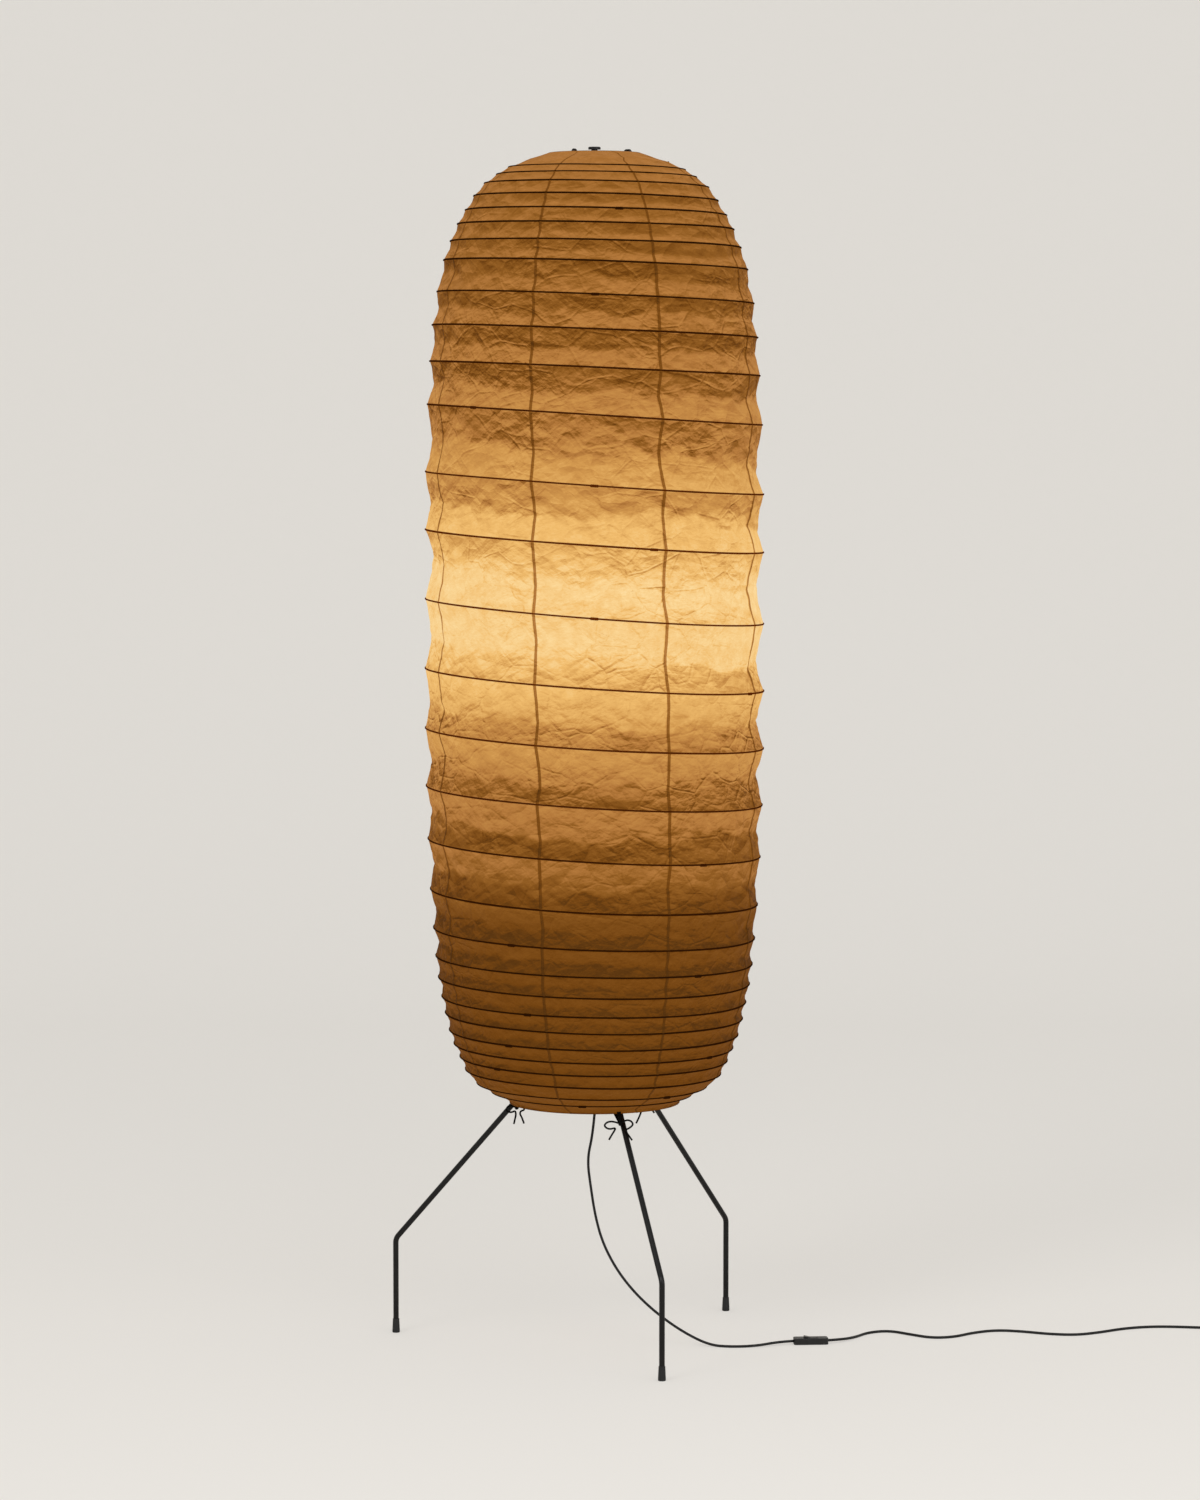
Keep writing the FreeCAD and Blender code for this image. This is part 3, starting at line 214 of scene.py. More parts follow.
def coilTurns():
    # in along the bottom layer, up at the innermost turn, and out along the top layer
    outer, inner = cordSizes["coilRadii"]
    low, high = cordSizes["coilHeights"]
    step = 1 / cordSizes["pointsPerTurn"]
    spread = 1 / math.cos(math.pi * step)      # the spline runs inside its points by this much
    layer = cordSizes["turnsPerLayer"]
    fullTurns = 2 * layer + 1
    lastTurn = fullTurns + cordSizes["coilStartAngle"] / 360
    points = []
    turn = 0
    while turn < lastTurn:
        if turn < layer:
            radius, height = outer + (inner - outer) * turn / layer, low
        elif turn < layer + 1:
            radius, height = inner, low + (high - low) * (turn - layer)
        elif turn < fullTurns:
            radius, height = inner + (outer - inner) * (turn - layer - 1) / layer, high
        else:
            radius, height = outer, high
        angle = math.radians(cordSizes["coilStartAngle"] - 360 * turn)
        centre = cordSizes["coilCentre"]
        points.append((
            centre[0] + radius * spread * math.cos(angle),
            centre[1] + radius * spread * math.sin(angle),
            height,
        ))
        turn += step
    return points


cordToSwitch = stringCurve("cordToSwitch", routeToSwitch, cordSizes["radius"], "stand", cordSheath)
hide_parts("cord_to_switch")
sleeveTip = cordSizes["plugSleeve"]
plugEnd = [(sleeveTip[0], sleeveTip[1] + ahead, sleeveTip[2]) for ahead in cordSizes["straightAtPlug"]]
wholeRoute = routeToCoil + coilTurns() + plugEnd
cordToPlug = stringCurve("cordToPlug", wholeRoute, cordSizes["radius"], "stand", cordSheath)
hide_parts("cord_to_plug", "cord_coil")
print("cords laid")


# the shade's outline, the turns of its rib and the paper between them
shadeForm = {
    # radius and height of the outline over the ribs, from the top ring down, in millimetres
    "outline": [
        (74.2, 1922), (120, 1907), (168, 1880), (206, 1832), (236, 1768), (256, 1680), (266, 1560),
        (272, 1200), (270, 860), (262, 700), (246, 562), (222, 478), (184, 421), (138.2, 396.6),
    ],
    # height of each turn of the rib at the front
    "turnHeights": [
        1910, 1897, 1886, 1871, 1850, 1827, 1805, 1777, 1746, 1692, 1639, 1580, 1509, 1393, 1305, 1189,
        1078, 985, 892, 808, 726, 668, 625, 592, 561, 535, 507, 486, 465, 444, 422, 409,
    ],
    "slack": 0.18,               # share of a turn that the front drops at each side
    "runOut": 0.8,               # turns from each end of the rib to its ring
    "firstSeam": 250,            # degrees
    "goreCount": 8,
    "bulbCentre": (0, 0, 1.19),
    "bulbNeckTop": 1.143,
}
paperForm = {
    "columns": 72,               # across one gore
    "rowHeight": 0.0032,
    "leastRows": 5,              # between two turns
    "extraTurns": 2,             # past each end of the rib, to reach the rings
    "weld": 0.00002,
    "lapAngle": 1.05,            # degrees of overlap at a seam
    "lapLift": 0.0009,
    "pinch": 0.098,              # how far the paper pulls in between turns, as a share of their distance
    "pinchVaries": (5, 0.45),    # patches per metre, and by how much
    "foldShare": 0.86,           # how much of the pinch is a straight fold, the rest a soft curve
    "foldWander": 0.2,           # how far the fold strays from mid height, as a share of the distance
    "foldWaves": (6.5, 1.1),     # per metre, and their part in the straying
    "foldJags": (25, 0.8),       # short slants along it, the same
    "facetDepth": (0.0046, 0.0016),
    "facetsPerMetre": (17, 46),
    "facetSkew": (0.4, -0.3, 1.25),
    "ripple": 0.0011,
    "ripplesPerMetre": 24,
    "slackShare": (0.35, 0.65),  # crumpling at the rib, and how much more of it at the fold
    "fullGap": 0.05,             # turns closer than this crumple less
    "smoothEnd": 0.012,          # the paper is drawn smooth this near to a ring
    "seamSway": (9, 0.0055),     # waves per metre, and metres to each side
    # how far the seams are turned round the lamp by height, in metres and degrees
    "twist": [
        (0.40, 4.4), (0.50, 2.2), (0.80, 1.5), (0.95, 0.6), (1.10, 0.0), (1.30, -0.7), (1.55, -2.0),
        (1.80, -2.8), (1.91, -4.4),
    ],
    "lip": 0.0041,               # paper turned down over the bottom ring
}


def splineThrough(points):
    # a smooth curve through the outline's points: gives the radius at a height
    pairs = sorted((height * millimetre, radius * millimetre) for radius, height in points)
    heights = [p[0] for p in pairs]
    radii = [p[1] for p in pairs]
    slopes = []
    for i in range(len(pairs)):
        if i == 0 or i == len(pairs) - 1:
            j = 0 if i == 0 else i - 1
            slopes.append((radii[j + 1] - radii[j]) / (heights[j + 1] - heights[j]))
        else:
            before = (radii[i] - radii[i - 1]) / (heights[i] - heights[i - 1])
            after = (radii[i + 1] - radii[i]) / (heights[i + 1] - heights[i])
            gapBefore, gapAfter = heights[i] - heights[i - 1], heights[i + 1] - heights[i]
            slopes.append((before * gapAfter + after * gapBefore) / (gapBefore + gapAfter))

    def radiusAt(height):
        height = min(max(height, heights[0]), heights[-1])
        i = 0
        while i < len(heights) - 2 and height > heights[i + 1]:
            i += 1
        gap = heights[i + 1] - heights[i]
        t = (height - heights[i]) / gap
        return (
            radii[i] * (1 + 2 * t) * (1 - t) ** 2 + radii[i + 1] * t * t * (3 - 2 * t)
            + gap * (slopes[i] * t * (1 - t) ** 2 - slopes[i + 1] * t * t * (1 - t))
        )
    return radiusAt


outlineRadius = splineThrough(shadeForm["outline"])
topHeight = shadeForm["outline"][0][1] * millimetre
bottomHeight = shadeForm["outline"][-1][1] * millimetre
lipHeight = bottomHeight - paperForm["lip"]
turnHeights = [h * millimetre for h in shadeForm["turnHeights"]]
lastTurnNumber = len(turnHeights) - 1


def heightAtTurn(turn):
    # the paper goes on past the rib's ends, to the rings
    if turn < 0:
        return min(topHeight, turnHeights[0] - turn * (topHeight - turnHeights[0]) / shadeForm["runOut"])
    if turn > lastTurnNumber:
        over = turn - lastTurnNumber
        drop = over * (turnHeights[-1] - bottomHeight) / shadeForm["runOut"]
        return max(lipHeight, turnHeights[-1] - drop)
    whole = min(int(turn), lastTurnNumber - 1)
    return turnHeights[whole] + (turnHeights[whole + 1] - turnHeights[whole]) * (turn - whole)


def tipAt(turn, side):
    height = heightAtTurn(turn)
    return Vector((side * outlineRadius(height), 0, height))


def shadePoint(turn, angle):
    # a turn of the rib is two level half circles tipped about Y; angle runs from -X past the front
    wholeTurns, angle = divmod(angle, 2 * math.pi)
    turn += wholeTurns
    slack = shadeForm["slack"]
    if angle < math.pi:
        start, end, front = tipAt(turn - slack, -1), tipAt(turn + slack, 1), -1
    else:
        start, end, front = tipAt(turn + slack, 1), tipAt(turn + 1 - slack, -1), 1
        angle -= math.pi
    middle = (start + end) / 2
    reach = (end - start).length / 2
    return middle + (start - middle) * math.cos(angle) + Vector((0, front * reach * math.sin(angle), 0))


def rowTurns():
    # the paper's rows, counted in turns of the rib: more of them where the turns are far apart
    rows = []
    endTurn = lastTurnNumber + paperForm["extraTurns"] + 1
    for whole in range(-paperForm["extraTurns"], endTurn):
        gap = heightAtTurn(whole) - heightAtTurn(whole + 1)
        count = max(paperForm["leastRows"], round(gap / paperForm["rowHeight"]))
        rows += [whole + step / count for step in range(count)]
    return rows + [endTurn]


def twisted(turn, angle):
    # where a column of the paper really runs, at the height that it has there
    height = shadePoint(turn, angle).z
    knots = paperForm["twist"]
    degrees = knots[0][1] if height < knots[0][0] else knots[-1][1]
    for (low, before), (high, after) in zip(knots, knots[1:]):
        if low <= height < high:
            degrees = before + (after - before) * (height - low) / (high - low)
    return angle + math.radians(degrees)


def easedShare(value, full):
    share = min(1, max(0, value / full))
    return share * share * (3 - 2 * share)


def foldBetween(whole, angle):
    # the paper between two turns: its span, where it folds and how deep
    above, below = shadePoint(whole, angle), shadePoint(whole + 1, angle)
    middle = (above + below) / 2
    waves, waveShare = paperForm["foldWaves"]
    jags, jagShare = paperForm["foldJags"]
    patches, depthChange = paperForm["pinchVaries"]
    swayWaves, sideways = paperForm["seamSway"]
    jag = noise.voronoi(middle * jags, distance_metric="MANHATTAN")[0][0] - 0.45
    stray = waveShare * noise.noise(middle * waves) + jagShare * jag
    # the two offsets only keep these noises from following the fold's own
    return {
        "gap": (above - below).length,
        "fold": 0.5 + paperForm["foldWander"] * stray,
        "depth": 1 + depthChange * noise.noise(middle * patches + Vector((2.2, 7.1, 0.4))),
        "sway": noise.noise(middle * swayWaves + Vector((0.6, 3.3, 5.9))) * sideways,
    }


def paperGore(number):
    columns = paperForm["columns"]
    rows = rowTurns()
    lap = math.radians(paperForm["lapAngle"])
    straight = paperForm["foldShare"]
    smoothEnd = paperForm["smoothEnd"]
    least, more = paperForm["slackShare"]
    skewX, skewY, stretchZ = paperForm["facetSkew"]
    width = math.radians(360 / shadeForm["goreCount"])
    seam = math.radians(shadeForm["firstSeam"] - 180) + width * number - lap / 2
    # columns over the gore, then three over the lap that lies on its neighbour
    angles = [seam + width * column / columns for column in range(columns + 1)]
    angles += [angles[-1] + lap * share for share in (0.03, 0.5, 1)]
    folds = {}
    bm = bmesh.new()
    bmesh.ops.create_grid(bm, x_segments=len(angles) - 1, y_segments=len(rows) - 1, size=0.5)
    lapLayer = bm.verts.layers.float.new("lap")
    for vert in bm.verts:
        column = round((vert.co.x + 0.5) * (len(angles) - 1))
        turn = rows[round((0.5 - vert.co.y) * (len(rows) - 1))]
        whole = math.floor(turn)
        if (whole, column) not in folds:
            folds[whole, column] = foldBetween(whole, twisted(whole + 0.5, angles[column]))
        angle = twisted(turn, angles[column])
        bay = folds[whole, column]
        phase = turn - whole
        point = shadePoint(turn, angle)
        pull = math.sin(math.pi * phase)
        fold = phase / bay["fold"] if phase < bay["fold"] else (1 - phase) / (1 - bay["fold"])
        ends = easedShare(point.z - bottomHeight, smoothEnd) * easedShare(topHeight - point.z, smoothEnd)
        inward = bay["gap"] * paperForm["pinch"] * bay["depth"]
        inward *= (1 - straight) * pull + straight * fold
        slack = (least + more * fold) * pull ** 0.5 * min(1, bay["gap"] / paperForm["fullGap"])
        for depth, perMetre in zip(paperForm["facetDepth"], paperForm["facetsPerMetre"]):
            skewed = Vector((point.x + skewX * point.z, point.y + skewY * point.z, point.z * stretchZ))
            skewed *= perMetre
            inward += (noise.voronoi(skewed, distance_metric="MANHATTAN")[0][0] - 0.5) * depth * slack
        ripple = noise.fractal(point * paperForm["ripplesPerMetre"], 0.9, 2.2, 3)
        inward += ripple * paperForm["ripple"] * slack
        outward = Vector((point.x, point.y, 0)).normalized()
        along = Vector((-outward.y, outward.x, 0))
        onLap = column > columns
        lift = paperForm["lapLift"] if onLap else 0
        vert.co = point + outward * (lift - inward * ends) + along * bay["sway"] * pull * ends
        vert[lapLayer] = 1.0 if onLap else 0.0
    bmesh.ops.remove_doubles(bm, verts=bm.verts, dist=paperForm["weld"])
    bmesh.ops.recalc_face_normals(bm, faces=bm.faces)
    data = bpy.data.meshes.new("paperGore%d" % (number + 1))
    bm.to_mesh(data)
    bm.free()
    outside = sum(p.normal.dot(p.center - Vector((0, 0, p.center.z))) for p in data.polygons)
    if outside < 0:
        data.flip_normals()
    shadeSmooth(data)
    return data


paperGlow = {
    "facets": ((29, 1.0), (68, 0.42), (150, 0.16)),      # how many to a metre and how deep
    "creasesPerMetre": 16,
    "creaseDepth": 0.0036,
    "fibresPerMetre": 150,
    "nearest": 0.27,              # distance from the bulb at which the direct light counts fully
    "fallOff": 1.15,
    "direct": 0.52,
    "bounced": (0.12, 0.03),      # by slant, and the same everywhere
    # upright part of the ray where a shadow is full and where it ends, and the light left in it
    "holderShadow": (-0.885, -0.845, 0.5),
    "neckShadow": (-0.88, -0.25, 0.78),
    "throughLap": 0.34,           # light left where two sheets lie on each other
    "strength": 0.93,
}


def litPaper():
    # handmade mulberry paper with a warm bulb behind it: long fibres, crumples pressed into it,
    # and a painted glow in place of the bulb's light through it, falling off with the distance from the
    # bulb and where a crease turns away
    material, tree, surface, place = newMaterial("mulberryPaperLit")
    bulb = shadeForm["bulbCentre"]
    fromBulb = addNode(tree, "ShaderNodeVectorMath", {"operation": "SUBTRACT"}, {0: place, 1: bulb})
    distance = addNode(tree, "ShaderNodeVectorMath", {"operation": "LENGTH"}, {0: fromBulb.outputs[0]})
    ray = addNode(tree, "ShaderNodeVectorMath", {"operation": "NORMALIZE"}, {0: fromBulb.outputs[0]})

    # crumples: straight-sided facets from 35 down to 7 mm across, lying askew
    warp = addNode(tree, "ShaderNodeTexNoise", inputs={"Vector": place, "Scale": 8, "Detail": 2})
    warped = addNode(tree, "ShaderNodeVectorMath", {"operation": "MULTIPLY_ADD"}, {
        0: warp.outputs["Color"], 1: (0.03, 0.03, 0.03), 2: place})
    askew = addNode(tree, "ShaderNodeMapping", inputs={
        "Vector": warped.outputs[0], "Rotation": (0.6, 0.35, 0.9), "Scale": (1, 1, 1.3)})
    facets = []
    for perMetre, depth in paperGlow["facets"]:
        cells = addNode(tree, "ShaderNodeTexVoronoi", {"feature": "F1", "distance": "MANHATTAN"}, {
            "Vector": askew.outputs[0], "Scale": perMetre, "Randomness": 1})
        facets.append(addNode(tree, "ShaderNodeMath", {"operation": "MULTIPLY"}, {
            0: cells.outputs["Distance"], 1: depth}).outputs[0])
    patches = addNode(tree, "ShaderNodeTexNoise", inputs={"Vector": place, "Scale": 6, "Detail": 2})
    where = addNode(tree, "ShaderNodeMapRange", inputs={
        "Value": patches.outputs["Fac"], "From Min": 0.38, "From Max": 0.62,
        "To Min": 0.25, "To Max": 1})
    fine = addNode(tree, "ShaderNodeMath", {"operation": "ADD"}, {0: facets[1], 1: facets[2]})
    fineHere = addNode(tree, "ShaderNodeMath", {"operation": "MULTIPLY_ADD"}, {
        0: fine.outputs[0], 1: where.outputs[0], 2: facets[0]})
    swell = addNode(tree, "ShaderNodeTexNoise", inputs={
        "Vector": place, "Scale": 34, "Detail": 5, "Roughness": 0.62})
    relief = addNode(tree, "ShaderNodeMath", {"operation": "MULTIPLY_ADD"}, {
        0: swell.outputs["Fac"], 1: 0.4, 2: fineHere.outputs[0]})
    # long straight creases round uneven patches about 60 mm across, where the paper is most handled
    patchEdge = addNode(tree, "ShaderNodeTexVoronoi", {"feature": "DISTANCE_TO_EDGE"}, {
        "Vector": askew.outputs[0], "Scale": paperGlow["creasesPerMetre"], "Randomness": 1})
    crease = addNode(tree, "ShaderNodeMapRange", inputs={
        "Value": patchEdge.outputs["Distance"], "From Min": 0, "From Max": 0.05,
        "To Min": 0.3, "To Max": 0})
    creaseHere = addNode(tree, "ShaderNodeMath", {"operation": "MULTIPLY_ADD"}, {
        0: crease.outputs["Result"], 1: where.outputs[0], 2: relief.outputs[0]})
    creased = addNode(tree, "ShaderNodeBump", inputs={
        "Height": creaseHere.outputs[0], "Strength": 0.9, "Distance": paperGlow["creaseDepth"]})

    # fibres: thin cloudy streaks, a few millimetres long
    fibreSpace = addNode(tree, "ShaderNodeMapping", inputs={
        "Vector": warped.outputs[0], "Scale": (1, 1, 2.6)})
    fibres = addNode(tree, "ShaderNodeTexNoise", inputs={
        "Vector": fibreSpace.outputs[0], "Scale": paperGlow["fibresPerMetre"], "Detail": 4,
        "Roughness": 0.7, "Distortion": 0.6})
    cloud = addNode(tree, "ShaderNodeTexNoise", inputs={"Vector": place, "Scale": 42, "Detail": 4})
    fibreAmount = addNode(tree, "ShaderNodeMapRange", inputs={
        "Value": fibres.outputs["Fac"], "From Min": 0.3, "From Max": 0.7,
        "To Min": 0.93, "To Max": 1.07})
    cloudAmount = addNode(tree, "ShaderNodeMapRange", inputs={
        "Value": cloud.outputs["Fac"], "From Min": 0.3, "From Max": 0.7,
        "To Min": 0.92, "To Max": 1.08})

    # painted light that reaches the paper: slant over distance squared, with what bounces inside the
    # shade
    facing = addNode(tree, "ShaderNodeVectorMath", {"operation": "DOT_PRODUCT"}, {
        0: creased.outputs["Normal"], 1: ray.outputs[0]})
    slant = addNode(tree, "ShaderNodeMath", {"operation": "ABSOLUTE"}, {0: facing.outputs["Value"]})
    relative = addNode(tree, "ShaderNodeMath", {"operation": "DIVIDE"}, {
        0: distance.outputs["Value"], 1: paperGlow["nearest"]})
    square = addNode(tree, "ShaderNodeMath", {"operation": "POWER"}, {0: relative.outputs[0], 1: 2})
    direct = addNode(tree, "ShaderNodeMath", {"operation": "DIVIDE"}, {
        0: slant.outputs[0], 1: square.outputs[0]})
    curve = addNode(tree, "ShaderNodeMath", {"operation": "POWER"}, {
        0: direct.outputs[0], 1: paperGlow["fallOff"]})
    bounced = addNode(tree, "ShaderNodeMath", {"operation": "MULTIPLY_ADD"}, {
        0: slant.outputs[0], 1: paperGlow["bounced"][0], 2: paperGlow["bounced"][1]})
    total = addNode(tree, "ShaderNodeMath", {"operation": "MULTIPLY_ADD"}, {
        0: curve.outputs[0], 1: paperGlow["direct"], 2: bounced.outputs[0]})
    # painted shadow: the lampholder shades the paper below a steep cone, and the bulb's neck
    # gives less light downwards than its ball gives level
    upright = addNode(tree, "ShaderNodeSeparateXYZ", inputs={"Vector": ray.outputs[0]}).outputs["Z"]
    losses = []
    for start, end, left in (paperGlow["holderShadow"], paperGlow["neckShadow"]):
        losses.append(addNode(tree, "ShaderNodeMapRange", {"interpolation_type": "SMOOTHSTEP"}, {
            "Value": upright, "From Min": start, "From Max": end, "To Min": left, "To Max": 1}))
    lap = addNode(tree, "ShaderNodeAttribute", {"attribute_name": "lap"})
    lapShade = addNode(tree, "ShaderNodeMapRange", inputs={
        "Value": lap.outputs["Fac"], "From Min": 0.3, "From Max": 0.9, "To Min": 1,
        "To Max": paperGlow["throughLap"]})
    lit = total.outputs[0]
    for part in (*losses, fibreAmount, cloudAmount, lapShade):
        factor = part.outputs["Result"]
        lit = addNode(tree, "ShaderNodeMath", {"operation": "MULTIPLY"}, {0: lit, 1: factor}).outputs[0]
    glow = addNode(tree, "ShaderNodeValToRGB", inputs={"Fac": lit})
    setRamp(glow, [
        (0.0, "#2c1503"), (0.05, "#653808"), (0.14, "#8a571f"), (0.22, "#b0763b"), (0.37, "#d09850"),
        (0.55, "#f2bf70"), (0.73, "#fedc9c"), (0.86, "#feebbe"),
    ])
    tree.links.new(glow.outputs["Color"], surface.inputs["Emission Color"])
    surface.inputs["Emission Strength"].default_value = paperGlow["strength"]
    # painted shade: a dark amber base, far darker than the paper itself, keeps the paper dark under the
    # studio lamps and leaves its brightness to the painted glow
    paintedShadeTone = addNode(tree, "ShaderNodeValToRGB", inputs={"Fac": fibres.outputs["Fac"]})
    setRamp(paintedShadeTone, [(0.3, "#3a2204"), (0.7, "#492d08")])
    tree.links.new(paintedShadeTone.outputs["Color"], surface.inputs["Base Color"])
    tree.links.new(creased.outputs["Normal"], surface.inputs["Normal"])
    surface.inputs["Roughness"].default_value = 0.88
    surface.inputs["Specular IOR Level"].default_value = 0.08
    return material


paperLit = litPaper()
for goreNumber in range(shadeForm["goreCount"]):
    goreData = paperGore(goreNumber)
    goreData.materials.append(paperLit)
    gore = addPiece("paperGore%d" % (goreNumber + 1), goreData, "shade")
    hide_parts("paper_gore_%d" % (goreNumber + 1))
    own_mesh(gore)
print("paper hung")


# spiral rib and the places where two lengths of it are bound
ribForm = {
    "radius": 0.0015,
    "pointsPerTurn": 72,
    "unevenness": (2.1, 0.14),   # waves per radian, and share of the radius
    "wobble": (1.3, 0.0006),     # waves per radian, and metres up or down
    # turns of the rib from its start, with a whole number at the front
    "spliceTurns": (
        5.02, 9.0, 11.91, 13.0, 14.04, 15.0, 16.13, 19.08, 20.94, 22.08, 23.95, 25.93, 27.11, 27.91,
        30.08, 30.99,
    ),
    "glowReach": (0.27, 0.62),   # distances from the bulb where the light through it is full and gone
    "spliceRadius": 0.0026,
    "spliceLength": 0.013,
    "spliceDrop": 0.0004,
    "spliceRings": 9,
}


def splitBamboo():
    # split bamboo under the paper, with the light behind it: near black and quite matt, a painted
    # shade for the rib seen dark against the lit paper, and a painted red-brown glow where the bulb is
    # near
    material, tree, surface, place = newMaterial("ribBambooShadeAndGlow")
    fromBulb = addNode(tree, "ShaderNodeVectorMath", {"operation": "DISTANCE"}, {
        0: place, 1: shadeForm["bulbCentre"]})
    full, gone = ribForm["glowReach"]
    near = addNode(tree, "ShaderNodeMapRange", inputs={
        "Value": fromBulb.outputs["Value"], "From Min": full, "From Max": gone,
        "To Min": 1, "To Max": 0})
    # painted glow: red-brown near the bulb, fading out farther from it
    through = addNode(tree, "ShaderNodeValToRGB", inputs={"Fac": near.outputs["Result"]})
    setRamp(through, [(0, "#220d02"), (0.5, "#351402"), (1, "#5a2403")])
    tree.links.new(through.outputs["Color"], surface.inputs["Emission Color"])
    surface.inputs["Emission Strength"].default_value = 1
    grain = addNode(tree, "ShaderNodeTexNoise", inputs={
        "Vector": place, "Scale": 60, "Detail": 4, "Roughness": 0.6})
    # painted shade: a near-black base colour, with a random grain
    shade = addNode(tree, "ShaderNodeValToRGB", inputs={"Fac": grain.outputs["Fac"]})
    setRamp(shade, [(0.28, "#0b0401"), (0.55, "#140802"), (0.75, "#221003")])
    fibres = addNode(tree, "ShaderNodeBump", inputs={
        "Height": grain.outputs["Fac"], "Strength": 0.5, "Distance": 0.0005})
    tree.links.new(shade.outputs["Color"], surface.inputs["Base Color"])
    tree.links.new(fibres.outputs["Normal"], surface.inputs["Normal"])
    surface.inputs["Roughness"].default_value = 0.9
    surface.inputs["Specular IOR Level"].default_value = 0
    return material


def tubeMesh(name, points, radii):
    # an eight-sided bar of uneven thickness along points, closed at both ends
    data = bpy.data.curves.new(name, "CURVE")
    data.dimensions = "3D"
    spline = data.splines.new("POLY")
    spline.points.add(len(points) - 1)
    for point, place, radius in zip(spline.points, points, radii):
        point.co = (*place, 1)
        point.radius = radius
    data.bevel_depth = 1
    data.bevel_resolution = 1
    data.use_fill_caps = True
    holder = bpy.data.objects.new(name, data)
    mesh = bpy.data.meshes.new_from_object(holder)
    bpy.data.objects.remove(holder)
    bpy.data.curves.remove(data)
    mesh.name = name
    shadeSmooth(mesh)
    return mesh


def joinMeshes(name, meshes):
    bm = bmesh.new()
    for mesh in meshes:
        bm.from_mesh(mesh)
        bpy.data.meshes.remove(mesh)
    data = bpy.data.meshes.new(name)
    bm.to_mesh(data)
    bm.free()
    shadeSmooth(data)
    return data


def ribTurnToAngle(turn):
    # a number of turns from the front centre, as the whole turn and the angle that shadePoint takes
    share = turn - round(turn)
    return round(turn), math.pi / 2 + math.pi / 2 * share / shadeForm["slack"]


bamboo = splitBamboo()
wobbles, wobbleHeight = ribForm["wobble"]
swells, swellShare = ribForm["unevenness"]
ribPoints = []
ribRadii = []
for stepNumber in range(lastTurnNumber * ribForm["pointsPerTurn"] + 1):
    angle = math.pi + 2 * math.pi * stepNumber / ribForm["pointsPerTurn"]
    point = shadePoint(0, angle)
    drift = noise.noise(Vector((angle * wobbles, 5.1, 0.7))) * wobbleHeight
    ribPoints.append((point.x, point.y, point.z + drift))
    thick = 1 + swellShare * noise.noise(Vector((angle * swells, 0.3, 7.7)))
    ribRadii.append(ribForm["radius"] * thick)
ribData = tubeMesh("spiralRib", ribPoints, ribRadii)
ribData.materials.append(bamboo)
spiralRib = addPiece("spiralRib", ribData, "shade")
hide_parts("spiral_rib")
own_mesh(spiralRib)

spliceMeshes = []
lastRing = ribForm["spliceRings"] - 1
for spliceNumber, turn in enumerate(ribForm["spliceTurns"]):
    whole, middleAngle = ribTurnToAngle(turn)
    centre = shadePoint(whole, middleAngle)
    reach = ribForm["spliceLength"] / 2 / centre.xy.length
    points, radii = [], []
    for i in range(ribForm["spliceRings"]):
        place = shadePoint(whole, middleAngle + reach * (2 * i / lastRing - 1))
        points.append((place.x, place.y, place.z - ribForm["spliceDrop"]))
        # the thread's ends taper, and its turns show
        radii.append(ribForm["spliceRadius"] * (0.72 if i in (0, lastRing) else 0.96 + 0.06 * (i % 2)))
    spliceMeshes.append(tubeMesh("splice%d" % spliceNumber, points, radii))
spliceData = joinMeshes("ribSplices", spliceMeshes)
spliceData.materials.append(bamboo)
ribSplices = addPiece("ribSplices", spliceData, "shade")
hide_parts("rib_splices")
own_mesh(ribSplices)
print("rib wound")


# string bows that hold the shade down
tieForm = {
    "stringRadius": 0.0015,
    "knotRadius": 0.0032,
    "ringSpot": (0.1295, 0.396, 0.0045),      # radius from the axis, height, wire radius
    "shadeRingSpot": (0.136, 0.3946, 0.0016),
    "gap": 0.0004,
    "wraps": 3,
    "wrapThinness": 0.85,            # a string pulled tight
    "wrapSpacing": 1.7,              # in string radii
    "gatherReach": 0.012,            # the wraps close up this near to the knot
    "stepsRound": 6,                 # along each round of a wrap
    "knotSteps": 18,
    "knotLoops": [(20, 0), (75, 50), (-60, 110)],      # tilt and spin of each, in degrees
    "knotLoopShape": (0.62, 0.28),   # share of the knot's radius, and how far out of flat
    "curveShare": 0.93,              # length of the smooth string over that of its points
    "ties": {
        "left": {"angle": 172, "knot": (0.128, 0.3795), "strings": [
            [(0, 0, 0), (-7, -1.5, 3.5), (-15, -2, 3), (-17.5, -3, -5), (-9, -4, -7.5), (-2, -4, -4),
             (-1, -4, -11), (-3, -4, -19), (-4.5, -4, -26)],
            [(0, 0, 0), (6, -1.5, 3), (12, -2, 1.5), (12.5, -3, -3.5), (7, -4, -4.5), (5, -5, -9),
             (9, -5.5, -16), (12, -5.5, -25)]]},
        "front": {"angle": -74.3, "knot": (0.152, 0.3785), "strings": [
            [(0, 0, 0), (-9, -1.5, 4), (-20, -2, 4), (-26.5, -3, -2.5), (-18.5, -4, -8.5),
             (-7, -4, -5.5), (-9.5, -4, -11), (-13.5, -4, -17), (-18, -4, -25)],
            [(0, 0, 0), (7, -1.5, 6), (16, -2, 6.2), (21.5, -3, -0.5), (13.5, -5, -6.8), (7.5, -6, -8.5),
             (13, -8, -17), (19, -9, -25)]]},
        "right": {"angle": 53, "knot": (0.142, 0.3795), "strings": [
            [(0, 0, 0), (-8, 1.5, 3), (-16, 2, 1.5), (-18, 3, -4.5), (-11, 4, -6), (-6, 4, -11),
             (-8, 4, -20), (-12, 4, -31), (-17, 4, -41)],
            [(0, 0, 0), (7, 1.5, 4), (14, 2, 2.5), (15.5, 3, -3), (9, 4, -5), (5, 5, -10),
             (8, 5.5, -17), (13, 5.5, -24)]]},
    },
}


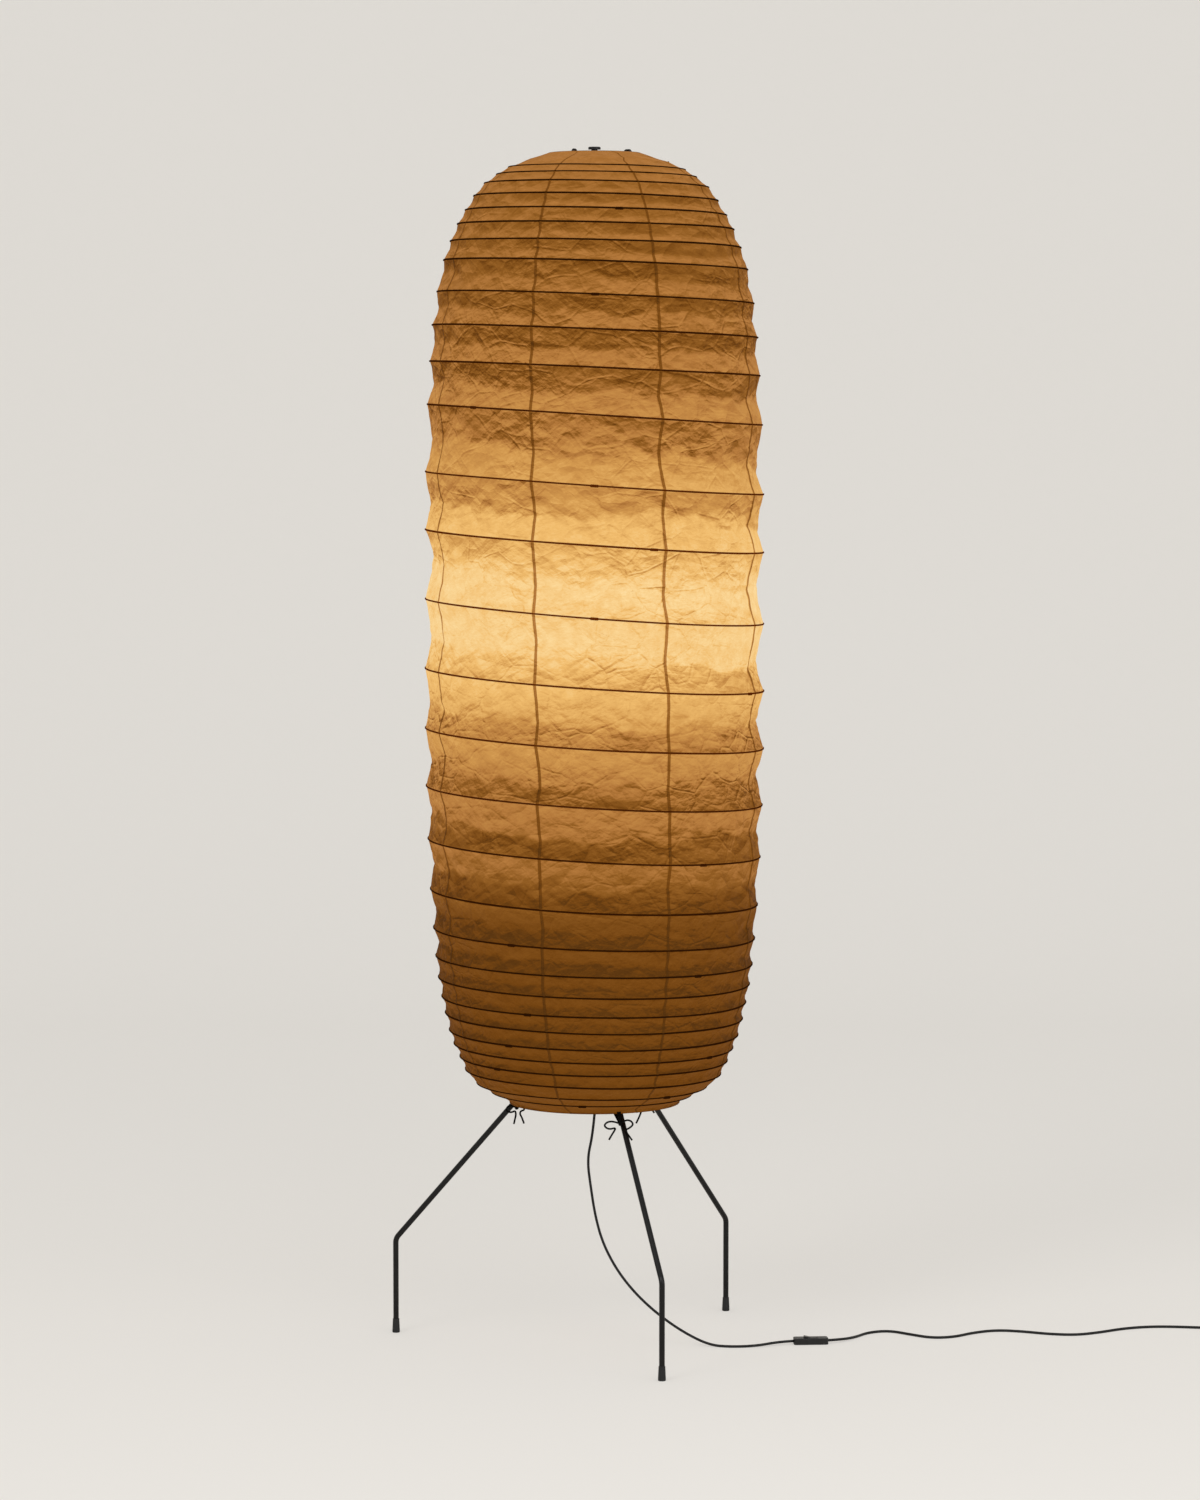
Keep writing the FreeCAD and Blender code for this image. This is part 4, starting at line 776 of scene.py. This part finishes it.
def lashingLoop(knotSpot):
    # a closed tight loop round the stand's ring, the shade's ring and the knot: reach and height
    spare = tieForm["stringRadius"] + tieForm["gap"]
    ring, shadeRing = tieForm["ringSpot"], tieForm["shadeRingSpot"]
    rounds = [
        (knotSpot, tieForm["stringRadius"]),
        (Vector(shadeRing[:2]), shadeRing[2] + spare),
        (Vector(ring[:2]), ring[2] + spare),
    ]
    loop = []
    turns = []
    for i in range(3):
        (near, nearRadius), (far, farRadius) = rounds[i], rounds[(i + 1) % 3]
        across = far - near
        lean = math.acos((nearRadius - farRadius) / across.length)
        turns.append(math.atan2(across.y, across.x) - lean)
    for i in range(3):
        centre, radius = rounds[(i + 1) % 3]
        sweep = (turns[(i + 1) % 3] - turns[i]) % (2 * math.pi)
        for step in range(tieForm["stepsRound"] + 1):
            a = turns[i] + sweep * step / tieForm["stepsRound"]
            loop.append(centre + Vector((math.cos(a), math.sin(a))) * radius)
    return loop


def lashingMesh(name, angle, knotSpot):
    # wraps side by side, drawn together at the knot
    loop = lashingLoop(knotSpot)
    count = len(loop)
    turn = Matrix.Rotation(math.radians(angle), 3, "Z")
    points = []
    for i in range(tieForm["wraps"] * count + 1):
        spot = loop[i % count]
        spread = min(1, (spot - knotSpot).length / tieForm["gatherReach"])
        side = (i / count - tieForm["wraps"] / 2) * tieForm["stringRadius"] * tieForm["wrapSpacing"]
        side *= spread
        points.append(tuple(turn @ Vector((spot.x, side, spot.y))))
    return tubeMesh(name, points, [tieForm["stringRadius"] * tieForm["wrapThinness"]] * len(points))


def knotMesh(name, centre):
    # three crossing loops of string, pulled tight
    meshes = []
    share, bend = tieForm["knotLoopShape"]
    for number, (tilt, spin) in enumerate(tieForm["knotLoops"]):
        turn = Matrix.Rotation(math.radians(spin), 3, "Z") @ Matrix.Rotation(math.radians(tilt), 3, "X")
        points = []
        for i in range(tieForm["knotSteps"] + 1):
            a = 2 * math.pi * i / tieForm["knotSteps"]
            ring = Vector((math.cos(a), math.sin(a), bend * math.sin(2 * a)))
            points.append(tuple(centre + turn @ (ring * tieForm["knotRadius"] * share)))
        meshes.append(tubeMesh("%s%d" % (name, number), points, [tieForm["stringRadius"]] * len(points)))
    return joinMeshes(name, meshes)


for side, tie in tieForm["ties"].items():
    turn = Matrix.Rotation(math.radians(tie["angle"]), 3, "Z")
    knotSpot = Vector(tie["knot"])
    knot = turn @ Vector((knotSpot.x, 0, knotSpot.y))
    title = side.capitalize()
    lashingData = joinMeshes("lashing" + title, [
        lashingMesh("wraps" + title, tie["angle"], knotSpot), knotMesh("knot" + title, knot)])
    lashingData.materials.append(bowString)
    lashing = addPiece("lashing" + title, lashingData, "stand")
    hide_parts("string_tie_" + side)
    for number, route in enumerate(tie["strings"], 1):
        places = [tuple(knot + Vector(p) * millimetre) for p in route]
        bowName = "bow%s%d" % (title, number)
        string = stringCurve(bowName, places, tieForm["stringRadius"], "stand", bowString)
        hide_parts("string_tie_" + side)
print("bows tied")


# finishes of the CAD pieces
def satinEnamel():
    # baked satin black enamel on drawn steel wire: a slight orange peel that spreads the shine
    material, tree, surface, place = newMaterial("wireEnamelSatin")
    peel = addNode(tree, "ShaderNodeTexNoise", inputs={"Vector": place, "Scale": 420, "Detail": 2})
    dust = addNode(tree, "ShaderNodeTexNoise", inputs={"Vector": place, "Scale": 30, "Detail": 5})
    shade = addNode(tree, "ShaderNodeValToRGB", inputs={"Fac": dust.outputs["Fac"]})
    setRamp(shade, [(0.35, "#050505"), (0.75, "#0c0b0b")])
    gloss = addNode(tree, "ShaderNodeMapRange", inputs={
        "Value": dust.outputs["Fac"], "From Min": 0.35, "From Max": 0.75, "To Min": 0.26, "To Max": 0.4})
    skin = addNode(tree, "ShaderNodeBump", inputs={
        "Height": peel.outputs["Fac"], "Strength": 0.12, "Distance": 0.0003})
    tree.links.new(shade.outputs["Color"], surface.inputs["Base Color"])
    tree.links.new(gloss.outputs["Result"], surface.inputs["Roughness"])
    tree.links.new(skin.outputs["Normal"], surface.inputs["Normal"])
    surface.inputs["Specular IOR Level"].default_value = 0.32
    return material


def grainedPlastic(name, dark, pale, low, high, grain, depth):
    # moulded plastic with a spark-eroded grain, or rubber with a duller one
    material, tree, surface, place = newMaterial(name)
    pits = addNode(tree, "ShaderNodeTexNoise", inputs={
        "Vector": place, "Scale": grain, "Detail": 4, "Roughness": 0.6})
    marks = addNode(tree, "ShaderNodeTexNoise", inputs={
        "Vector": place, "Scale": grain / 18, "Detail": 4})
    shade = addNode(tree, "ShaderNodeValToRGB", inputs={"Fac": marks.outputs["Fac"]})
    setRamp(shade, [(0.3, dark), (0.75, pale)])
    gloss = addNode(tree, "ShaderNodeMapRange", inputs={
        "Value": marks.outputs["Fac"], "From Min": 0.3, "From Max": 0.7, "To Min": low, "To Max": high})
    skin = addNode(tree, "ShaderNodeBump", inputs={
        "Height": pits.outputs["Fac"], "Strength": 0.3, "Distance": depth})
    tree.links.new(shade.outputs["Color"], surface.inputs["Base Color"])
    tree.links.new(gloss.outputs["Result"], surface.inputs["Roughness"])
    tree.links.new(skin.outputs["Normal"], surface.inputs["Normal"])
    return material


def platedMetal(name, dark, pale, low, high):
    # rolled or plated metal with faint rubbing marks
    material, tree, surface, place = newMaterial(name)
    marks = addNode(tree, "ShaderNodeTexNoise", inputs={
        "Vector": place, "Scale": 260, "Detail": 5, "Roughness": 0.7})
    shade = addNode(tree, "ShaderNodeValToRGB", inputs={"Fac": marks.outputs["Fac"]})
    setRamp(shade, [(0.3, dark), (0.7, pale)])
    gloss = addNode(tree, "ShaderNodeMapRange", inputs={
        "Value": marks.outputs["Fac"], "From Min": 0.3, "From Max": 0.7, "To Min": low, "To Max": high})
    tree.links.new(shade.outputs["Color"], surface.inputs["Base Color"])
    tree.links.new(gloss.outputs["Result"], surface.inputs["Roughness"])
    surface.inputs["Metallic"].default_value = 1
    return material


def glazedPorcelain():
    # electrical porcelain: white body, clear glaze, a few grey specks
    material, tree, surface, place = newMaterial("insertPorcelain")
    specks = addNode(tree, "ShaderNodeTexNoise", inputs={"Vector": place, "Scale": 500, "Detail": 3})
    shade = addNode(tree, "ShaderNodeValToRGB", inputs={"Fac": specks.outputs["Fac"]})
    setRamp(shade, [(0.25, "#b9b4a8"), (0.34, "#e6e1d6")])
    tree.links.new(shade.outputs["Color"], surface.inputs["Base Color"])
    surface.inputs["Roughness"].default_value = 0.2
    return material


def litFrostedGlass():
    # acid-frosted glass bulb, lit: brightest round the filament, fading into the neck
    material, tree, surface, place = newMaterial("bulbGlassFrostedLit")
    parts = addNode(tree, "ShaderNodeSeparateXYZ", inputs={"Vector": place})
    level = addNode(tree, "ShaderNodeMapRange", {"interpolation_type": "SMOOTHSTEP"}, {
        "Value": parts.outputs["Z"], "From Min": shadeForm["bulbNeckTop"],
        "From Max": shadeForm["bulbCentre"][2], "To Min": 0.35, "To Max": 1})
    frost = addNode(tree, "ShaderNodeTexNoise", inputs={"Vector": place, "Scale": 900, "Detail": 2})
    skin = addNode(tree, "ShaderNodeBump", inputs={
        "Height": frost.outputs["Fac"], "Strength": 0.2, "Distance": 0.0002})
    glow = addNode(tree, "ShaderNodeValToRGB", inputs={"Fac": level.outputs["Result"]})
    setRamp(glow, [(0.3, "#e0a860"), (0.7, "#ffe2b0"), (1, "#fff4dc")])
    tree.links.new(glow.outputs["Color"], surface.inputs["Emission Color"])
    tree.links.new(skin.outputs["Normal"], surface.inputs["Normal"])
    surface.inputs["Emission Strength"].default_value = 2.2
    surface.inputs["Base Color"].default_value = linearColour("#efe6d4")
    surface.inputs["Roughness"].default_value = 0.45
    return material


enamel = satinEnamel()
rubber = grainedPlastic("footRubber", "#0c0c0d", "#18181a", 0.5, 0.68, 900, 0.0003)
switchPlastic = grainedPlastic("switchAbs", "#0a0a0b", "#141416", 0.3, 0.42, 1400, 0.0002)
holderPlastic = grainedPlastic("holderPhenolic", "#0d0b0a", "#1a1715", 0.24, 0.36, 700, 0.0001)
glandNylon = grainedPlastic("glandNylon", "#0c0c0d", "#17171a", 0.38, 0.5, 800, 0.0002)
zinc = platedMetal("screwZinc", "#8f8f8a", "#b9b8b0", 0.28, 0.45)
brass = platedMetal("contactBrass", "#a5823c", "#c9a55c", 0.25, 0.4)
capMetal = platedMetal("bulbCapAluminium", "#b3b0a8", "#d0cec6", 0.22, 0.36)
nickel = platedMetal("pinNickel", "#b4b0a6", "#d6d2c8", 0.12, 0.22)
tungsten = platedMetal("filamentTungsten", "#5a5650", "#7c766c", 0.4, 0.5)
porcelain = glazedPorcelain()
blackGlass = grainedPlastic("capVitrite", "#050507", "#0f0f12", 0.1, 0.18, 300, 0.0001)
frostedGlass = litFrostedGlass()
stemGlass = grainedPlastic("stemGlassMilky", "#c9c6bc", "#e4e2da", 0.08, 0.16, 200, 0.0001)
finishes = {
    "black_enamel": enamel, "black_rubber": rubber, "black_bakelite": holderPlastic,
    "zinc_steel": zinc, "brass": brass, "bulb_metal": capMetal, "nickel": nickel, "porcelain": porcelain,
    "black_glass": blackGlass, "frosted_glass": frostedGlass, "clear_glass": stemGlass,
    "tungsten": tungsten, "black_nylon": glandNylon, "black_pvc": cordSheath,
    "switch_plastic": switchPlastic, "black_string": bowString, "washi_paper": paperLit,
    "bamboo": bamboo,
}
for part in frame["record"]["subparts"]:
    node = bpy.data.objects.get(part["node"])
    if node is not None and node.type == "MESH":
        finish = finishes[part["material_slot"]]
        if node.material_slots:
            for slot in node.material_slots:
                slot.material = finish
        else:
            node.data.materials.append(finish)
print("finishes given")


# floor, backdrop and light
studio = {
    "floorSize": 14,
    "floorFront": -8.6,
    "backdropHeight": 7,
    "backdropDistance": 5.5,
    "sweepRadius": 1.6,
    "sweepSteps": 12,
    "floorColour": "#ebe8e3",
    "seenGlow": 0.5,              # share of its own brightness that the camera sees on it
    "floorGlowColour": "#f1eee9",
    "skyColour": "#e9e6e1",       # what the camera sees behind the backdrop
    "lightColour": "#f4f2ee",
    "worldStrength": 0.62,
}


def studioPaper():
    # pale matt backdrop paper; the camera sees it brighter than the lamps make it, shadows and all
    material, tree, surface = newMaterial("backdropPaper")[:3]
    surface.inputs["Base Color"].default_value = linearColour(studio["floorColour"])
    surface.inputs["Roughness"].default_value = 0.95
    surface.inputs["Specular IOR Level"].default_value = 0.1
    glow = addNode(tree, "ShaderNodeEmission", inputs={
        "Color": linearColour(studio["floorGlowColour"]), "Strength": 1})
    rays = addNode(tree, "ShaderNodeLightPath")
    share = addNode(tree, "ShaderNodeMath", {"operation": "MULTIPLY"}, {
        0: rays.outputs["Is Camera Ray"], 1: studio["seenGlow"]})
    seen = addNode(tree, "ShaderNodeMixShader", inputs={
        0: share.outputs[0], 1: surface.outputs[0], 2: glow.outputs[0]})
    output = next(node for node in tree.nodes if node.type == "OUTPUT_MATERIAL")
    tree.links.new(seen.outputs[0], output.inputs["Surface"])
    return material


def sweepMesh():
    # floor that curves up into the backdrop
    bm = bmesh.new()
    half = studio["floorSize"] / 2
    far = studio["backdropDistance"]
    radius = studio["sweepRadius"]
    steps = studio["sweepSteps"]
    spots = [(studio["floorFront"], 0), (far - radius, 0)]
    for i in range(1, steps + 1):
        a = math.pi / 2 * i / steps
        spots.append((far - radius + radius * math.sin(a), radius - radius * math.cos(a)))
    spots.append((far, studio["backdropHeight"]))
    profile = [bm.verts.new((-half, y, z)) for y, z in spots]
    edges = [bm.edges.new(pair) for pair in zip(profile, profile[1:])]
    spread = bmesh.ops.extrude_edge_only(bm, edges=edges)
    moved = [v for v in spread["geom"] if isinstance(v, bmesh.types.BMVert)]
    bmesh.ops.translate(bm, verts=moved, vec=(2 * half, 0, 0))
    bmesh.ops.recalc_face_normals(bm, faces=bm.faces)
    data = bpy.data.meshes.new("studioSweep")
    bm.to_mesh(data)
    bm.free()
    shadeSmooth(data)
    return data


sweepData = sweepMesh()
sweepData.materials.append(studioPaper())
sweep = bpy.data.objects.new("studioSweep", sweepData)
scene.collection.objects.link(sweep)

world = bpy.data.worlds.new("studioWorld")
scene.world = world
world.use_nodes = True
worldTree = world.node_tree
worldTree.nodes.clear()
skyLight = addNode(worldTree, "ShaderNodeBackground", inputs={
    "Color": linearColour(studio["lightColour"]), "Strength": studio["worldStrength"]})
skySeen = addNode(worldTree, "ShaderNodeBackground", inputs={
    "Color": linearColour(studio["skyColour"]), "Strength": 1})
rays = addNode(worldTree, "ShaderNodeLightPath")
skyMix = addNode(worldTree, "ShaderNodeMixShader", inputs={
    0: rays.outputs["Is Camera Ray"], 1: skyLight.outputs[0], 2: skySeen.outputs[0]})
addNode(worldTree, "ShaderNodeOutputWorld", inputs={"Surface": skyMix.outputs[0]})

softLights = {
    "keyLight": {"place": (-3.2, -4.4, 4.2), "aim": (0, 0, 1.0), "size": 2.6, "power": 95},
    "fillLight": {"place": (4.2, -3.6, 2.6), "aim": (0, 0, 0.9), "size": 3.2, "power": 55},
    "floorLight": {"place": (0.8, -2.6, 2.9), "aim": (0.5, 0, 0), "size": 1.8, "power": 18},
}
for name, settings in softLights.items():
    lamp = bpy.data.lights.new(name, "AREA")
    lamp.shape = "DISK"
    lamp.size = settings["size"]
    lamp.energy = settings["power"]
    lampObject = bpy.data.objects.new(name, lamp)
    lampObject.location = settings["place"]
    direction = Vector(settings["aim"]) - Vector(settings["place"])
    lampObject.rotation_euler = direction.to_track_quat("-Z", "Y").to_euler()
    scene.collection.objects.link(lampObject)
scene.view_settings.view_transform = "Standard"
print("studio lit")
